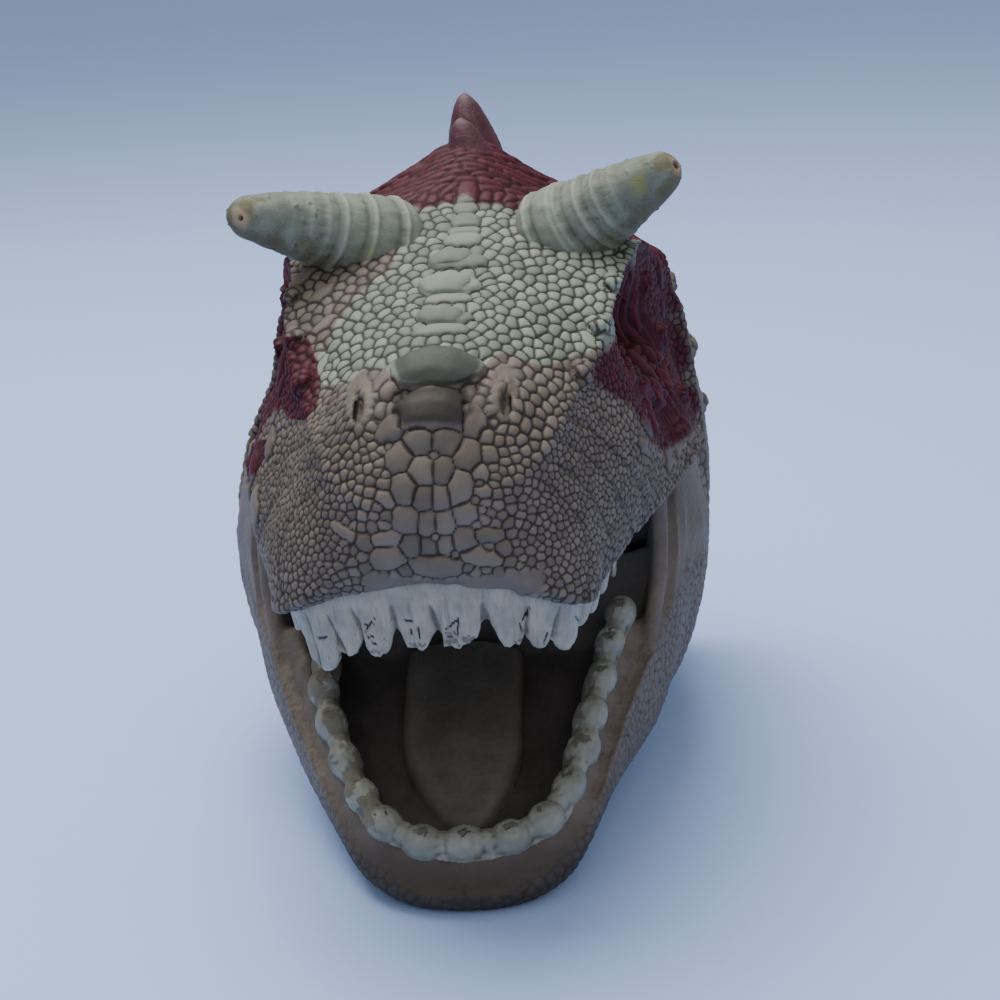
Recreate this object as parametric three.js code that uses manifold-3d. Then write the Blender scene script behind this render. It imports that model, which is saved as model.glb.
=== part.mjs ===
// A soft rubber dinosaur head, worn as a glove: four fingers fill the snout and the thumb works the jaw.
// Millimetres. +Z is up, the snout points along -Y and the hand goes in from +Y. Z = 0 is the table.
import * as THREE from "three";
import { mergeVertices } from "three/addons/utils/BufferGeometryUtils.js";
import Module from "manifold-3d";

const wasm = await Module();
wasm.setup();

// Driving dimensions
const wall = 3; // rubber skin
const lipWall = 1.8; // the skin thins out to this at the upper lip
const seat = 0.4; // gap between pieces that touch
const through = 5; // a cutter runs this far past what it cuts
const levelled = 1.5; // undersides are drawn this far below the table, then levelled to it
const hinge = { y: 5, z: 68 }; // the fold at the mouth's corners

const head = {
  noseY: -84, // foremost point of the snout
  noseZ: 86, // its height
  rearY: 18, // where the head meets the neck
  crownRearZ: 137, // top of the head at its rear
  crownSlope: 0.315, // the top falls this much per mm towards the snout
  lipY: -62, // where the snout's rounding starts at the lips
  lipZ: 66.5, // lip height there
  lipSlope: 0.165, // the lip rises this much per mm towards the cheek
  lipArch: 5, // and by this much again at the front of the snout
  lipCurl: 1.5, // how late that arch starts
  snoutHalf: 31, // half width at the lips
  cheekHalf: 49.5, // half width at the cheeks
  cheekY: -5,
  browFrontHalf: 24.5, // half width between the brows, at lipY
  browHalf: 36.5, // half width between the brows, above the eyes
  browY: -12,
  browFlare: 0.08, // the crown widens this much per mm behind the eyes
  browDropFront: 10, // the brow's edge lies this far below the midline
  browDrop: 5.5,
  browDropRear: 24,
  browFall: 1.3, // how late the edge falls away behind the eyes
  crownRound: 1.8, // the crown is round between the brows
  crownRoof: 1.7, // and ridged like a roof at its rear
  muzzleBulge: 4.5, // the sides of the snout swell over the teeth
  muzzleY: -46,
  muzzleLength: 30,
  muzzleLow: 1.3, // above 1 the swelling sits low, close to the lips
  cheekFlare: 1.5, // how late the sides spread towards the cheeks
  browRidge: 1.6, // the brow's edge stands this proud of the sides
  ridgeDepth: 0.2, // over this share of the side's height
  ridgeFrontY: -55, // it starts here and is full after ridgeFade
  ridgeFade: 15,
};
const noseLengths = { top: 34, lip: 20, width: 24 }; // lengths of the snout's rounding
const nosePower = 3;
const socket = { y: -16, z: 105, lengthR: 11, heightR: 9.5, depth: 8.5 };
const snoutScutes = {
  rear: { y: -66, z: 110.5, halfWidth: 9.6, halfLength: 5.6, height: 2.6 },
  front: { y: -76, z: 103.5, halfWidth: 8.2, halfLength: 5.2, height: 2.4 },
};
const scuteRise = { forward: 0.5, up: 0.85 }; // the way they stand out of the skin
const domes = { rise: 1.3, bed: 1.2 }; // the low scutes further back: their height, and their root's depth
const crownScutes = [
  { y: -46.6, halfWidth: 4.9, halfLength: 3.6 },
  { y: -34.9, halfWidth: 5.6, halfLength: 4.7 },
  { y: -24.5, halfWidth: 5.2, halfLength: 4 },
];
const browScutes = { ys: [-51, -38, -25], halfLength: 4.2 };
// Pairs behind the eyes and on the cheeks
const sideScutes = [
  { y: 2, z: 111, halfLength: 3, halfHeight: 4.2 },
  { y: 4, z: 98, halfLength: 3.2, halfHeight: 4.4 },
  { y: 2, z: 85.5, halfLength: 4, halfHeight: 3.4 },
  { y: -12, z: 81, halfLength: 4, halfHeight: 3 },
];
const nostril = { x: 13.5, y: -71.5, z: 106.8, halfWidth: 1.6, halfHeight: 5.2, depth: 4.6 };
const nostrilRim = { height: 2.8, width: 4.6, length: 7 };
const eye = {
  radius: 5.2,
  x: 29.8,
  y: socket.y + 1,
  z: socket.z - 0.5,
  turn: 5, // degrees that it looks forwards
  domeHeight: 3,
  backDepth: 1.2,
};

const jaw = {
  chinY: -71, // foremost point of the chin
  chinZ: 7,
  rearY: 17.5,
  chinRound: 13, // length of the chin's rounding
  halfAtChin: 18.8, // half width the chin would have without its rounding
  flare: 0.44, // the jaw widens this much per mm towards the neck
  rearHalf: 54.5,
  rimZ: 11, // gum line at the front teeth
  rimY: -60,
  rimSlope: 0.665,
  rimGap: 0.64, // between the rim and the lip above it at the mouth's corners
  cornerY: -12, // behind this the rim sweeps up to the mouth's corner
  earY: 5,
  earZ: 77.5,
  earTuck: 0.08, // share by which the flanks draw in towards the cheeks
  tuckZ: 50,
  bellyFront: 2.2, // roundness of the underside
  bellyRear: 3,
};
const neck = {
  rearY: 77.6,
  topRearZ: 120,
  halfFront: jaw.rearHalf,
  halfRear: 46,
  halfHump: 1.5,
  roundTop: 1.9,
  roundBottom: 2.6,
  middleZ: 62,
  hingeGap: 0.085, // the jaw's swing room under the hinge, per mm of height
};
const cuff = { length: 6, overhang: 1.6, wall: 5.5 };
const knob = { radius: 3.4, height: 2.4, pitch: 10.5, bed: 0.6 };
// Each row starts this far behind the head and below its crown
const knobRows = {
  upper: { behind: 18, below: 33, count: 4, fall: 1.5 },
  middle: { behind: 28, below: 50, count: 3, fall: 1 },
  lower: { behind: 37, below: 66, count: 2, fall: 0.5 },
};

const upperTeeth = {
  rearY: -42,
  gumRise: 3, // the strip reaches this far up behind the lip
  thickness: 4.2,
  waist: 0.9, // share of that thickness left at waistAt of a tooth's length
  waistAt: 0.6,
  tipThickness: 1.8,
  notch: 5.6, // how far down the gaps between the teeth start
  square: 2.6, // a higher power gives broader teeth
  full: 0.6, // a lower power gives blunter tips
};
const toothLengths = [8, 9, 10, 11, 13.5, 10, 9.4, 8.2, 9, 9.6, 8.4, 9.4, 10.2, 10, 9.5, 9, 8];
const lowerTeeth = {
  rearY: -14,
  insetChin: 7, // from the chin's foremost point
  insetFront: 5.5, // from the jaw's outside
  insetRear: 8,
  frontRound: 9,
  width: 6.2,
  height: 7,
  count: 17,
  swell: 0.26, // the strip is this much slimmer between the teeth
  swellSharp: 1.5,
};
const tongue = {
  tipY: -57,
  rootY: -15,
  half: 13,
  thickness: 6,
  tipShare: 0.5, // share of the length over which it widens
  thickShare: 0.4, // and over which it thickens
  fullness: 0.7,
  groove: 0.12,
  grooveWidth: 1.5,
};
const floor = {
  frontY: -60,
  rearY: -3.5,
  depthFront: 5, // below the jaw's rim
  depthRear: 9,
  thickness: 2.2,
  rise: 5, // its sides turn up by this much
  hollow: 4, // a higher power keeps the middle flatter
};
const palate = { rearY: -7, arch: 5, thickness: 2.4 };
const throat = { radius: 14, thickness: 2.2, half: 41, top: 32, bottom: -66 };

const hornRadii = [9.9, 9.4, 8.5, 7.4, 5.8, 3.7]; // evenly spaced from root to tip
const hornRings = { count: 5, height: 0.6, smoothFrom: 0.8 };
const hornTip = { round: 12, bluntness: 0.12 };
const vent = { radius: 0.9, depth: 3 }; // small hole in a horn's tip
const horns = {
  left_horn: { base: [-9, -4.5, 122.5], bend: [-23, -15, 128.7], tip: [-43.5, -28.5, 135.5] },
  right_horn: { base: [16, -5, 122.5], bend: [29.5, -11.5, 130], tip: [46.8, -19.5, 140] },
};
const spines = {
  crest_spine_1: { y: 17, half: 6, depth: 4.5, height: 9.5, lean: 4 },
  crest_spine_2: { y: 28, half: 6.6, depth: 6.5, height: 14.5, lean: 5 },
  crest_spine_3: { y: 44, half: 5.6, depth: 6, height: 12, lean: 5 },
  crest_spine_4: { y: 59, half: 4.6, depth: 5, height: 9, lean: 4 },
};
const spineBed = 4; // how far a spine's root reaches into the skin before it is trimmed
const spineShape = { crowd: 1.5, blunt: 0.7 };

// Small maths
const lerp = (a, b, t) => a + (b - a) * t;
const clamp01 = (t) => Math.min(1, Math.max(0, t));
const smooth = (t) => clamp01(t) ** 2 * (3 - 2 * clamp01(t));
const bell = (a, b) => Math.exp(-a * a - b * b);
// 0 at the very front, 1 once the rounding of an end is over
const round = (t, power) => (t >= 1 ? 1 : (1 - (1 - clamp01(t)) ** power) ** (1 / power));
const range = (n) => [...Array(n).keys()];
const point = (x, y, z) => new THREE.Vector3(x, y, z);

// Solids
function geometryOf(points, triangles) {
  const flat = points.flatMap((p) => [p.x, p.y, p.z]);
  const made = new THREE.BufferGeometry();
  made.setAttribute("position", new THREE.Float32BufferAttribute(flat, 3));
  made.setIndex(triangles.flat());
  return made;
}

function solidOf(geometry) {
  const bare = geometry.clone();
  bare.deleteAttribute("normal");
  bare.deleteAttribute("uv");
  const merged = mergeVertices(bare, 1e-3);
  const solid = (triVerts) =>
    new wasm.Manifold(
      new wasm.Mesh({ numProp: 3, vertProperties: merged.attributes.position.array, triVerts }),
    );
  const triVerts = new Uint32Array(merged.index.array);
  const made = solid(triVerts);
  if (made.volume() > 0) return made;
  const otherWay = [0, 1, -1]; // swaps the last two corners of each triangle
  const insideOut = triVerts.map((_, i) => triVerts[i + otherWay[i % 3]]);
  return solid(insideOut);
}

// A solid through closed rings of equally many points. An end is fanned to its middle, or to a pole,
// or zipped up straight across where the ring is a thin band.
const zipped = "zipped";
function skinOver(rings, startPole = null, endPole = null) {
  const count = rings[0].length;
  const points = rings.flat();
  const triangles = [];
  const middle = (ring) => ring.reduce((sum, p) => sum.add(p), point(0, 0, 0)).divideScalar(count);
  for (const r of range(rings.length - 1)) {
    for (const j of range(count)) {
      const a = r * count + j;
      const b = r * count + ((j + 1) % count);
      triangles.push([a, b, b + count], [a, b + count, a + count]);
    }
  }
  const facing = (turned, [a, b, c]) => triangles.push(turned ? [a, c, b] : [a, b, c]);
  const zip = (first, turned) => {
    for (const j of range(count / 2 - 1)) {
      const [a, b, c, d] = [j, j + 1, count - 2 - j, count - 1 - j].map((k) => first + k);
      facing(turned, [a, b, c]);
      facing(turned, [a, c, d]);
    }
  };
  const close = (ring, first, pole, turned) => {
    if (pole === zipped) return zip(first, turned);
    const hub = points.push(pole ?? middle(ring)) - 1;
    for (const j of range(count)) facing(turned, [hub, first + j, first + ((j + 1) % count)]);
  };
  close(rings[0], 0, startPole, true);
  close(rings.at(-1), (rings.length - 1) * count, endPole, false);
  return solidOf(geometryOf(points, triangles));
}

// A closed band between an upper and a lower surface, over stations along Y and a share -1..1 across.
function sheetSolid(stations, across, upper, lower) {
  const shares = range(across + 1).map((i) => (2 * i) / across - 1);
  const rings = stations.map((y) => [
    ...shares.map((s) => upper(s, y)),
    ...shares.toReversed().map((s) => lower(s, y)),
  ]);
  return skinOver(rings, zipped, zipped);
}

// An outline in Y and Z, drawn out across the whole width
function acrossSolid(outline) {
  const depth = 4 * jaw.rearHalf;
  const slab = new THREE.ExtrudeGeometry(outline, { depth, bevelEnabled: false, curveSegments: 8 });
  slab.applyMatrix4(new THREE.Matrix4().makeBasis(point(0, 1, 0), point(0, 0, 1), point(1, 0, 0)));
  slab.translate(-depth / 2, 0, 0);
  return solidOf(slab);
}

function meshOf(name, solid, material) {
  const { vertProperties, triVerts, numProp } = solid.getMesh();
  const positions = [...vertProperties].filter((_, i) => i % numProp < 3);
  const geometry = new THREE.BufferGeometry();
  geometry.setAttribute("position", new THREE.Float32BufferAttribute(positions, 3));
  geometry.setIndex([...triVerts]);
  geometry.computeVertexNormals();
  const mesh = new THREE.Mesh(geometry, material);
  mesh.name = name;
  return mesh;
}

// Head: lines along Y. "grow" moves the whole surface outwards, and inwards where it is negative.
const topLine = (y) => head.crownRearZ - head.crownSlope * (head.rearY - y);
function lipLine(y) {
  const ahead = clamp01((head.lipY - y) / (head.lipY - head.noseY));
  return head.lipZ + head.lipSlope * (y - head.lipY) + head.lipArch * ahead ** head.lipCurl;
}
const noseShare = (y, grow, length) => round((y - head.noseY + grow) / length, nosePower);

function headLines(y, grow, lipGrow = grow) {
  const top = lerp(head.noseZ, topLine(y) + grow, noseShare(y, lipGrow, noseLengths.top));
  const lip = lerp(head.noseZ, lipLine(y), noseShare(y, lipGrow, noseLengths.lip));
  const width = noseShare(y, lipGrow, noseLengths.width);
  const cheekShare = clamp01((y - head.lipY) / (head.cheekY - head.lipY));
  const lipHalf = (lerp(head.snoutHalf, head.cheekHalf, cheekShare) + lipGrow) * width;
  const browShare = (y - head.lipY) / (head.browY - head.lipY);
  const browGrown =
    y < head.browY
      ? lerp(head.browFrontHalf, head.browHalf, browShare)
      : head.browHalf + head.browFlare * (y - head.browY);
  const browHalf = (browGrown + grow) * width;
  const dropFront = lerp(head.browDropFront, head.browDrop, smooth(browShare));
  const behind = clamp01((y - head.browY) / (head.rearY - head.browY));
  const drop = lerp(dropFront, head.browDropRear, behind ** head.browFall);
  return { top, lip, lipHalf, browHalf, browZ: top - drop * width, behind };
}

// Half width of the head's side at a height between the brow and the lip
function sideHalf(y, z, { lip, lipHalf, browHalf, browZ }) {
  const b = clamp01((browZ - z) / (browZ - lip));
  const muzzle = bell((y - head.muzzleY) / head.muzzleLength, 0);
  const spread = lerp(b ** head.cheekFlare, b, muzzle);
  const bulge = head.muzzleBulge * muzzle * Math.sin(Math.PI * b ** head.muzzleLow);
  const ridgeShare = smooth((y - head.ridgeFrontY) / head.ridgeFade);
  const ridge = head.browRidge * bell(b / head.ridgeDepth, 0) * ridgeShare;
  const dent = socket.depth * bell((y - socket.y) / socket.lengthR, (z - socket.z) / socket.heightR);
  return lerp(browHalf, lipHalf, spread) + bulge + ridge - dent;
}

const crownSteps = 7;
const sideSteps = 9;
// Half section from the midline over the brow and down to the lip, on the side where x is positive
function headHalfSection(y, grow, lipGrow) {
  const { top, lip, lipHalf, browHalf, browZ, behind } = headLines(y, grow, lipGrow);
  const crownPower = lerp(head.crownRound, head.crownRoof, behind);
  const crown = range(crownSteps).map((i) => {
    const a = i / crownSteps;
    return point(browHalf * a, y, lerp(top, browZ, a ** crownPower));
  });
  const side = range(sideSteps + 1).map((i) => {
    const b = i / sideSteps;
    const z = lerp(browZ, lip, b);
    return point(sideHalf(y, z, { lip, lipHalf, browHalf, browZ }), y, z);
  });
  return [...crown, ...side];
}

const mirrored = (p) => point(-p.x, p.y, p.z);
function headRing(y, grow, lipGrow, bottomZ) {
  const half = headHalfSection(y, grow, lipGrow);
  const edge = half.at(-1);
  const foot = [1, 0.5].map((s) => point(edge.x * s, y, bottomZ ?? edge.z));
  const right = bottomZ === null ? [...half, foot[1]] : [...half, ...foot];
  const middle = point(0, y, bottomZ ?? edge.z);
  return [...right, middle, ...right.slice(1).toReversed().map(mirrored)];
}

// The big oval scutes on the snout's midline and the nostrils' rims stand proud of the skin
function raiseSnout(p) {
  const rises = Object.values(snoutScutes).map((scute) => {
    const across = p.x / scute.halfWidth;
    const along = Math.hypot(p.y - scute.y, p.z - scute.z) / scute.halfLength;
    return scute.height * Math.sqrt(Math.max(0, 1 - across ** 2 - along ** 2));
  });
  const fromRim = (Math.abs(p.x) - nostril.x) / nostrilRim.width;
  const alongRim = Math.hypot(p.y - nostril.y, p.z - nostril.z) / nostrilRim.length;
  const rise = Math.max(...rises, nostrilRim.height * bell(fromRim, alongRim));
  p.y -= rise * scuteRise.forward;
  p.z += rise * scuteRise.up;
  return p;
}

// Sections crowd together towards the front, where the form turns fastest
const crowded = (frontY, rearY, count, power) =>
  range(count).map((i) => lerp(frontY, rearY, ((i + 1) / count) ** power));

function headBlock(grow, options = {}) {
  const { lipGrow = grow, bottomZ = null, rearY = head.rearY, stations = 30, scutes = false } = options;
  const frontY = head.noseY - lipGrow;
  const ys = crowded(frontY, rearY, stations, 1.65);
  const rings = ys.map((y) => headRing(y, grow, lipGrow, bottomZ));
  if (scutes) rings.forEach((ring) => ring.forEach(raiseSnout));
  return skinOver(rings, point(0, frontY, (head.noseZ + (bottomZ ?? head.noseZ)) / 2));
}

function ellipsoid(centre, radii, { segments = 14, slope = 0 } = {}) {
  const ball = new THREE.SphereGeometry(1, segments, segments / 2);
  ball.scale(...radii);
  ball.rotateX(Math.atan(slope));
  ball.translate(...centre);
  return solidOf(ball);
}

// Low scutes along the crown's midline, and mirrored ones on the brows, behind the eyes and on the cheeks
function lowScutes() {
  const { rise, bed } = domes;
  const segments = 8;
  const onCrown = crownScutes.map(({ y, halfWidth, halfLength }) => {
    const centre = [0, y, headLines(y, 0).top - bed];
    return ellipsoid(centre, [halfWidth, halfLength, rise + bed], { segments, slope: head.crownSlope });
  });
  const onSide = (side) => {
    const brows = browScutes.ys.map((y) => {
      const { browHalf, browZ } = headLines(y, 0);
      const radii = [rise + bed, browScutes.halfLength, rise + bed];
      return ellipsoid([side * (browHalf - bed / 2), y, browZ - bed / 2], radii, { segments });
    });
    const flank = sideScutes.map(({ y, z, halfLength, halfHeight }) => {
      const centre = [side * (sideHalf(y, z, headLines(y, 0)) - bed), y, z];
      return ellipsoid(centre, [rise + bed, halfLength, halfHeight], { segments });
    });
    return [...brows, ...flank];
  };
  return [...onCrown, ...onSide(-1), ...onSide(1)];
}

function headSkin() {
  const bottomZ = head.lipZ - 2 * wall;
  const inside = { lipGrow: -lipWall, bottomZ, rearY: head.rearY + through, stations: 15 };
  const cavity = headBlock(-wall, inside);
  const outside = lowScutes().reduce((whole, low) => whole.add(low), headBlock(0, { scutes: true }));
  let skin = outside.subtract(cavity);
  for (const side of [-1, 1]) {
    const { x, y, z, halfWidth, halfHeight, depth } = nostril;
    skin = skin.subtract(ellipsoid([side * x, y, z], [halfWidth, depth, halfHeight]));
    skin = skin.subtract(eyeButton(side, seat));
  }
  return skin;
}

// A domed eye with a flat back, turned to look sideways and a little forwards
function eyeButton(side, grow = 0) {
  const radius = eye.radius + grow;
  const back = -eye.backDepth - grow;
  const dome = eye.domeHeight + grow;
  const steps = 6;
  const arc = range(steps).map((i) => {
    const a = (i / steps) * (Math.PI / 2);
    return new THREE.Vector2(radius * Math.cos(a), dome * Math.sin(a));
  });
  const flat = [new THREE.Vector2(0, back), new THREE.Vector2(radius, back)];
  const lens = new THREE.LatheGeometry([...flat, ...arc, new THREE.Vector2(0, dome)], 20);
  lens.rotateZ(-Math.PI / 2);
  lens.rotateZ((-eye.turn * Math.PI) / 180);
  lens.translate(eye.x, eye.y, eye.z);
  if (side < 0) lens.scale(-1, 1, 1);
  return solidOf(lens);
}

// Half width inside the head at a height above the lip
const headInnerHalf = (y, z) => sideHalf(y, z, headLines(y, -wall, -lipWall));

// Roof of the mouth, arched between the gums and seated on their teeth
function palateLining() {
  const surface = (lift) => (s, y) => {
    const z = headLines(y - upperTeeth.thickness / 2, 0).lip + upperTeeth.gumRise + seat;
    return point((headInnerHalf(y, z + lift) - seat) * s, y, z + palate.arch * (1 - s * s) + lift);
  };
  const rows = 14;
  const frontY = head.noseY + lipWall + upperTeeth.thickness + 2 * seat;
  const ys = range(rows + 1).map((i) => lerp(frontY, palate.rearY, i / rows));
  return sheetSolid(ys, 12, surface(palate.thickness), surface(0));
}

// Back of the mouth: a sheet bent around the hinge line, so the jaw's floor can turn past it
function throatWall() {
  const steps = 10;
  const inner = throat.radius - throat.thickness;
  const rings = range(steps + 1).map((i) => {
    const angle = THREE.MathUtils.degToRad(lerp(throat.top, throat.bottom, i / steps));
    const at = (x, radius) =>
      point(x, hinge.y - radius * Math.cos(angle), hinge.z + radius * Math.sin(angle));
    return [
      at(-throat.half, throat.radius),
      at(throat.half, throat.radius),
      at(throat.half, inner),
      at(-throat.half, inner),
    ];
  });
  return skinOver(rings);
}

// Evenly spaced points along a U that runs from one side round the front to the other
function mouthPath(halfAt, heightAt, frontY, rearY, count) {
  const steps = 24;
  const quarter = range(steps + 1).map((i) => {
    const t = i / steps;
    const y = lerp(frontY, rearY, t ** 2);
    return point(i === 0 ? 0 : halfAt(y), y, heightAt(y));
  });
  const whole = [...quarter.toReversed().map(mirrored), ...quarter.slice(1)];
  return new THREE.CatmullRomCurve3(whole, false, "centripetal").getSpacedPoints(count);
}

const sideways = (path, i) => {
  const before = path[Math.max(0, i - 1)];
  const after = path[Math.min(path.length - 1, i + 1)];
  return point(after.y - before.y, before.x - after.x, 0).normalize();
};

// Teeth hang from a gum strip under the lip. Each tooth is a rounded tongue of its own length.
function upperToothStrip() {
  const count = toothLengths.length;
  const steps = count * 6;
  const inset = lipWall + seat + upperTeeth.thickness / 2;
  const half = (y) => Math.max(0, headLines(y, -inset).lipHalf);
  const lip = (y) => headLines(y, 0).lip;
  const path = mouthPath(half, lip, head.noseY + inset + seat, upperTeeth.rearY, steps);
  const rings = path.map((p, i) => {
    const along = (i / steps) * count;
    const tooth = Math.min(count - 1, Math.floor(along));
    const share = 2 * (along - tooth) - 1;
    const shape = (1 - Math.abs(share) ** upperTeeth.square) ** upperTeeth.full;
    const length = lerp(upperTeeth.notch, toothLengths[tooth], shape);
    const out = sideways(path, i).multiplyScalar(-1);
    const at = (offset, drop) => point(p.x + out.x * offset, p.y + out.y * offset, p.z - drop);
    const outer = upperTeeth.thickness / 2;
    const tip = upperTeeth.tipThickness / 2;
    const root = -upperTeeth.gumRise;
    const waist = at(outer * upperTeeth.waist, length * upperTeeth.waistAt);
    return [at(-outer, root), at(outer, root), waist, at(tip, length), at(-tip, length)];
  });
  return skinOver(rings);
}

// Jaw: lines along Y
const jawShare = (y, grow) => round((y - jaw.chinY + grow) / jaw.chinRound, 2);
function rimHeight(y) {
  const line = jaw.rimZ + jaw.rimSlope * (y - jaw.rimY);
  const sweep = smooth((y - jaw.cornerY) / (jaw.earY - jaw.cornerY));
  return lerp(line, Math.min(jaw.earZ, lipLine(y) - jaw.rimGap), sweep);
}
function jawLines(y, grow) {
  const share = jawShare(y, grow);
  const grown = jaw.halfAtChin + jaw.flare * (y - jaw.chinY);
  return {
    half: (Math.min(jaw.rearHalf, grown) + grow) * share,
    rim: lerp(jaw.chinZ, rimHeight(y), share),
    base: lerp(jaw.chinZ, -grow, share),
  };
}
const bellyPower = (y) =>
  lerp(jaw.bellyFront, jaw.bellyRear, clamp01((y - jaw.chinY) / (jaw.rearY - jaw.chinY)));
const flankTuck = (z) => 1 - jaw.earTuck * smooth((z - jaw.tuckZ) / (jaw.earZ - jaw.tuckZ));
function jawRing(y, grow, topRise) {
  const { half, rim, base } = jawLines(y, grow);
  const steps = 12;
  const flank = range(steps + 1).map((i) => {
    const t = (i / steps) ** 1.8;
    const z = Math.max(-grow, lerp(base - levelled, rim, t));
    return point(half * round(t, bellyPower(y)) * flankTuck(z), y, z);
  });
  const lid = [1, 0.5].map((s) => point(flank.at(-1).x * s, y, rim + topRise));
  const right = topRise > 0 ? [...flank, ...lid] : [...flank, lid[1]];
  return [...right, point(0, y, rim + topRise), ...right.slice(1).toReversed().map(mirrored)];
}
function jawBlock(grow, { topRise = 0, rearY = jaw.rearY, stations = 24 } = {}) {
  const frontY = jaw.chinY - grow;
  const rings = crowded(frontY, rearY, stations, 1.3).map((y) => jawRing(y, grow, topRise));
  return skinOver(rings, point(0, frontY, jaw.chinZ + topRise / 2));
}
// What lies outside a circle round the hinge would strike the neck as the mouth shuts
function hingeCorner() {
  const reach = jaw.rearY - hinge.y;
  const outline = new THREE.Shape();
  outline.moveTo(hinge.y + reach, hinge.z);
  outline.absarc(hinge.y, hinge.z, reach, 0, Math.PI / 2);
  outline.lineTo(hinge.y, jaw.earZ + reach);
  outline.lineTo(jaw.rearY + wall, jaw.earZ + reach);
  outline.lineTo(jaw.rearY + wall, hinge.z);
  return acrossSolid(outline);
}
function jawSkin() {
  const cavity = jawBlock(-wall, { topRise: 4 * wall, rearY: jaw.rearY + through, stations: 16 });
  return jawBlock(0).subtract(cavity).subtract(hingeCorner());
}

// Half width inside the jaw at a height, and the mouth's floor between its walls
function jawInnerHalf(y, z) {
  const { half, rim, base } = jawLines(y, -wall);
  return half * round((z - base) / (rim - base), bellyPower(y)) * flankTuck(z);
}
function floorHeight(y) {
  const back = smooth((y - floor.frontY) / (floor.rearY - floor.frontY));
  return jawLines(y, 0).rim - lerp(floor.depthFront, floor.depthRear, back);
}
function mouthFloor() {
  const surface = (drop) => (s, y) => {
    const z = floorHeight(y) - drop;
    const half = jawInnerHalf(y, z + floor.rise) - 2 * seat;
    return point(half * s, y, z + floor.rise * s ** floor.hollow);
  };
  const rows = 12;
  const ys = range(rows + 1).map((i) => lerp(floor.frontY, floor.rearY, i / rows));
  return sheetSolid(ys, 12, surface(0), surface(floor.thickness));
}

function tongueBody() {
  const rows = 12;
  const across = 10;
  const rings = range(rows).map((i) => {
    const t = (i + 1) / rows;
    const y = lerp(tongue.tipY, tongue.rootY, t);
    const half = tongue.half * round(t / tongue.tipShare, 2);
    const rise = tongue.thickness * round(t / tongue.thickShare, 2);
    const bed = floorHeight(y) + seat;
    const over = range(across + 1).map((j) => {
      const a = (j / across) * Math.PI;
      const groove = 1 - tongue.groove * bell((j - across / 2) / tongue.grooveWidth, 0);
      return point(half * Math.cos(a), y, bed + rise * Math.sin(a) ** tongue.fullness * groove);
    });
    const under = range(across - 1).map((j) => point(half * ((2 * (j + 1)) / across - 1), y, bed));
    return [...over, ...under];
  });
  return skinOver(rings, point(0, tongue.tipY, floorHeight(tongue.tipY) + 2 * seat));
}

// Knobbly lower teeth: one ridge along the gum, swelling at each tooth
function lowerToothStrip() {
  const { rearY, insetFront, insetRear, frontRound } = lowerTeeth;
  const steps = lowerTeeth.count * 5;
  const frontY = jaw.chinY + lowerTeeth.insetChin;
  const inset = (y) => lerp(insetFront, insetRear, clamp01((y - jaw.rimY) / (rearY - jaw.rimY)));
  const half = (y) => Math.max(0, (jawLines(y, 0).half - inset(y)) * round((y - frontY) / frontRound, 2));
  const height = (y) => rimHeight(Math.min(y, rearY)) + seat;
  const path = mouthPath(half, height, frontY, rearY, steps);
  const sides = 7;
  const endSteps = 4; // the strip's ends are rounded over this many steps
  const rings = path.map((p, i) => {
    const along = (i / steps) * lowerTeeth.count;
    const swell = 1 - lowerTeeth.swell * Math.abs(Math.cos(Math.PI * along)) ** lowerTeeth.swellSharp;
    const end = round((Math.min(i, steps - i) + 0.5) / endSteps, 2);
    const out = sideways(path, i);
    return range(sides).map((j) => {
      const a = (j / (sides - 1)) * Math.PI;
      const offset = (lowerTeeth.width / 2) * swell * end * Math.cos(a);
      const rise = lowerTeeth.height * swell * end * Math.sin(a);
      return point(p.x + out.x * offset, p.y + out.y * offset, p.z + rise);
    });
  });
  return skinOver(rings);
}

// Neck: a sleeve that the hand goes through, with the jaw's swing room cut from its front
function neckLines(y, grow) {
  const t = clamp01((y - head.rearY) / (neck.rearY - head.rearY));
  const top = lerp(head.crownRearZ, neck.topRearZ, t ** 1.5) + grow;
  const half = lerp(neck.halfFront, neck.halfRear, t) + neck.halfHump * Math.sin(Math.PI * t) + grow;
  return { top, half, base: -grow };
}
const neckSides = 32;
function neckRing(y, grow) {
  const { top, half, base } = neckLines(y, grow);
  return range(neckSides).map((i) => {
    const a = (i / neckSides) * 2 * Math.PI;
    const c = Math.cos(a);
    const s = Math.sin(a);
    const power = 2 / (s > 0 ? neck.roundTop : neck.roundBottom);
    const x = half * Math.sign(c) * Math.abs(c) ** power;
    const reach = s > 0 ? top - neck.middleZ : neck.middleZ - base + levelled;
    return point(x, y, Math.max(base, neck.middleZ + reach * Math.sign(s) * Math.abs(s) ** power));
  });
}
function neckBlock(grow, frontY, rearY, stations) {
  return skinOver(range(stations + 1).map((i) => neckRing(lerp(frontY, rearY, i / stations), grow)));
}
function swingRoom() {
  const frontY = head.rearY - through;
  const atHinge = head.rearY + seat;
  const top = jaw.earZ + seat;
  const atTable = atHinge + neck.hingeGap * top;
  const outline = new THREE.Shape([
    new THREE.Vector2(frontY, -through),
    new THREE.Vector2(atTable, -through),
    new THREE.Vector2(atHinge, top),
    new THREE.Vector2(frontY, top),
  ]);
  return acrossSolid(outline);
}
function neckSurface(y, z) {
  const { top, half } = neckLines(y, 0);
  const share = (z - neck.middleZ) / (top - neck.middleZ);
  return half * (1 - share ** neck.roundTop) ** (1 / neck.roundTop);
}
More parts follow.
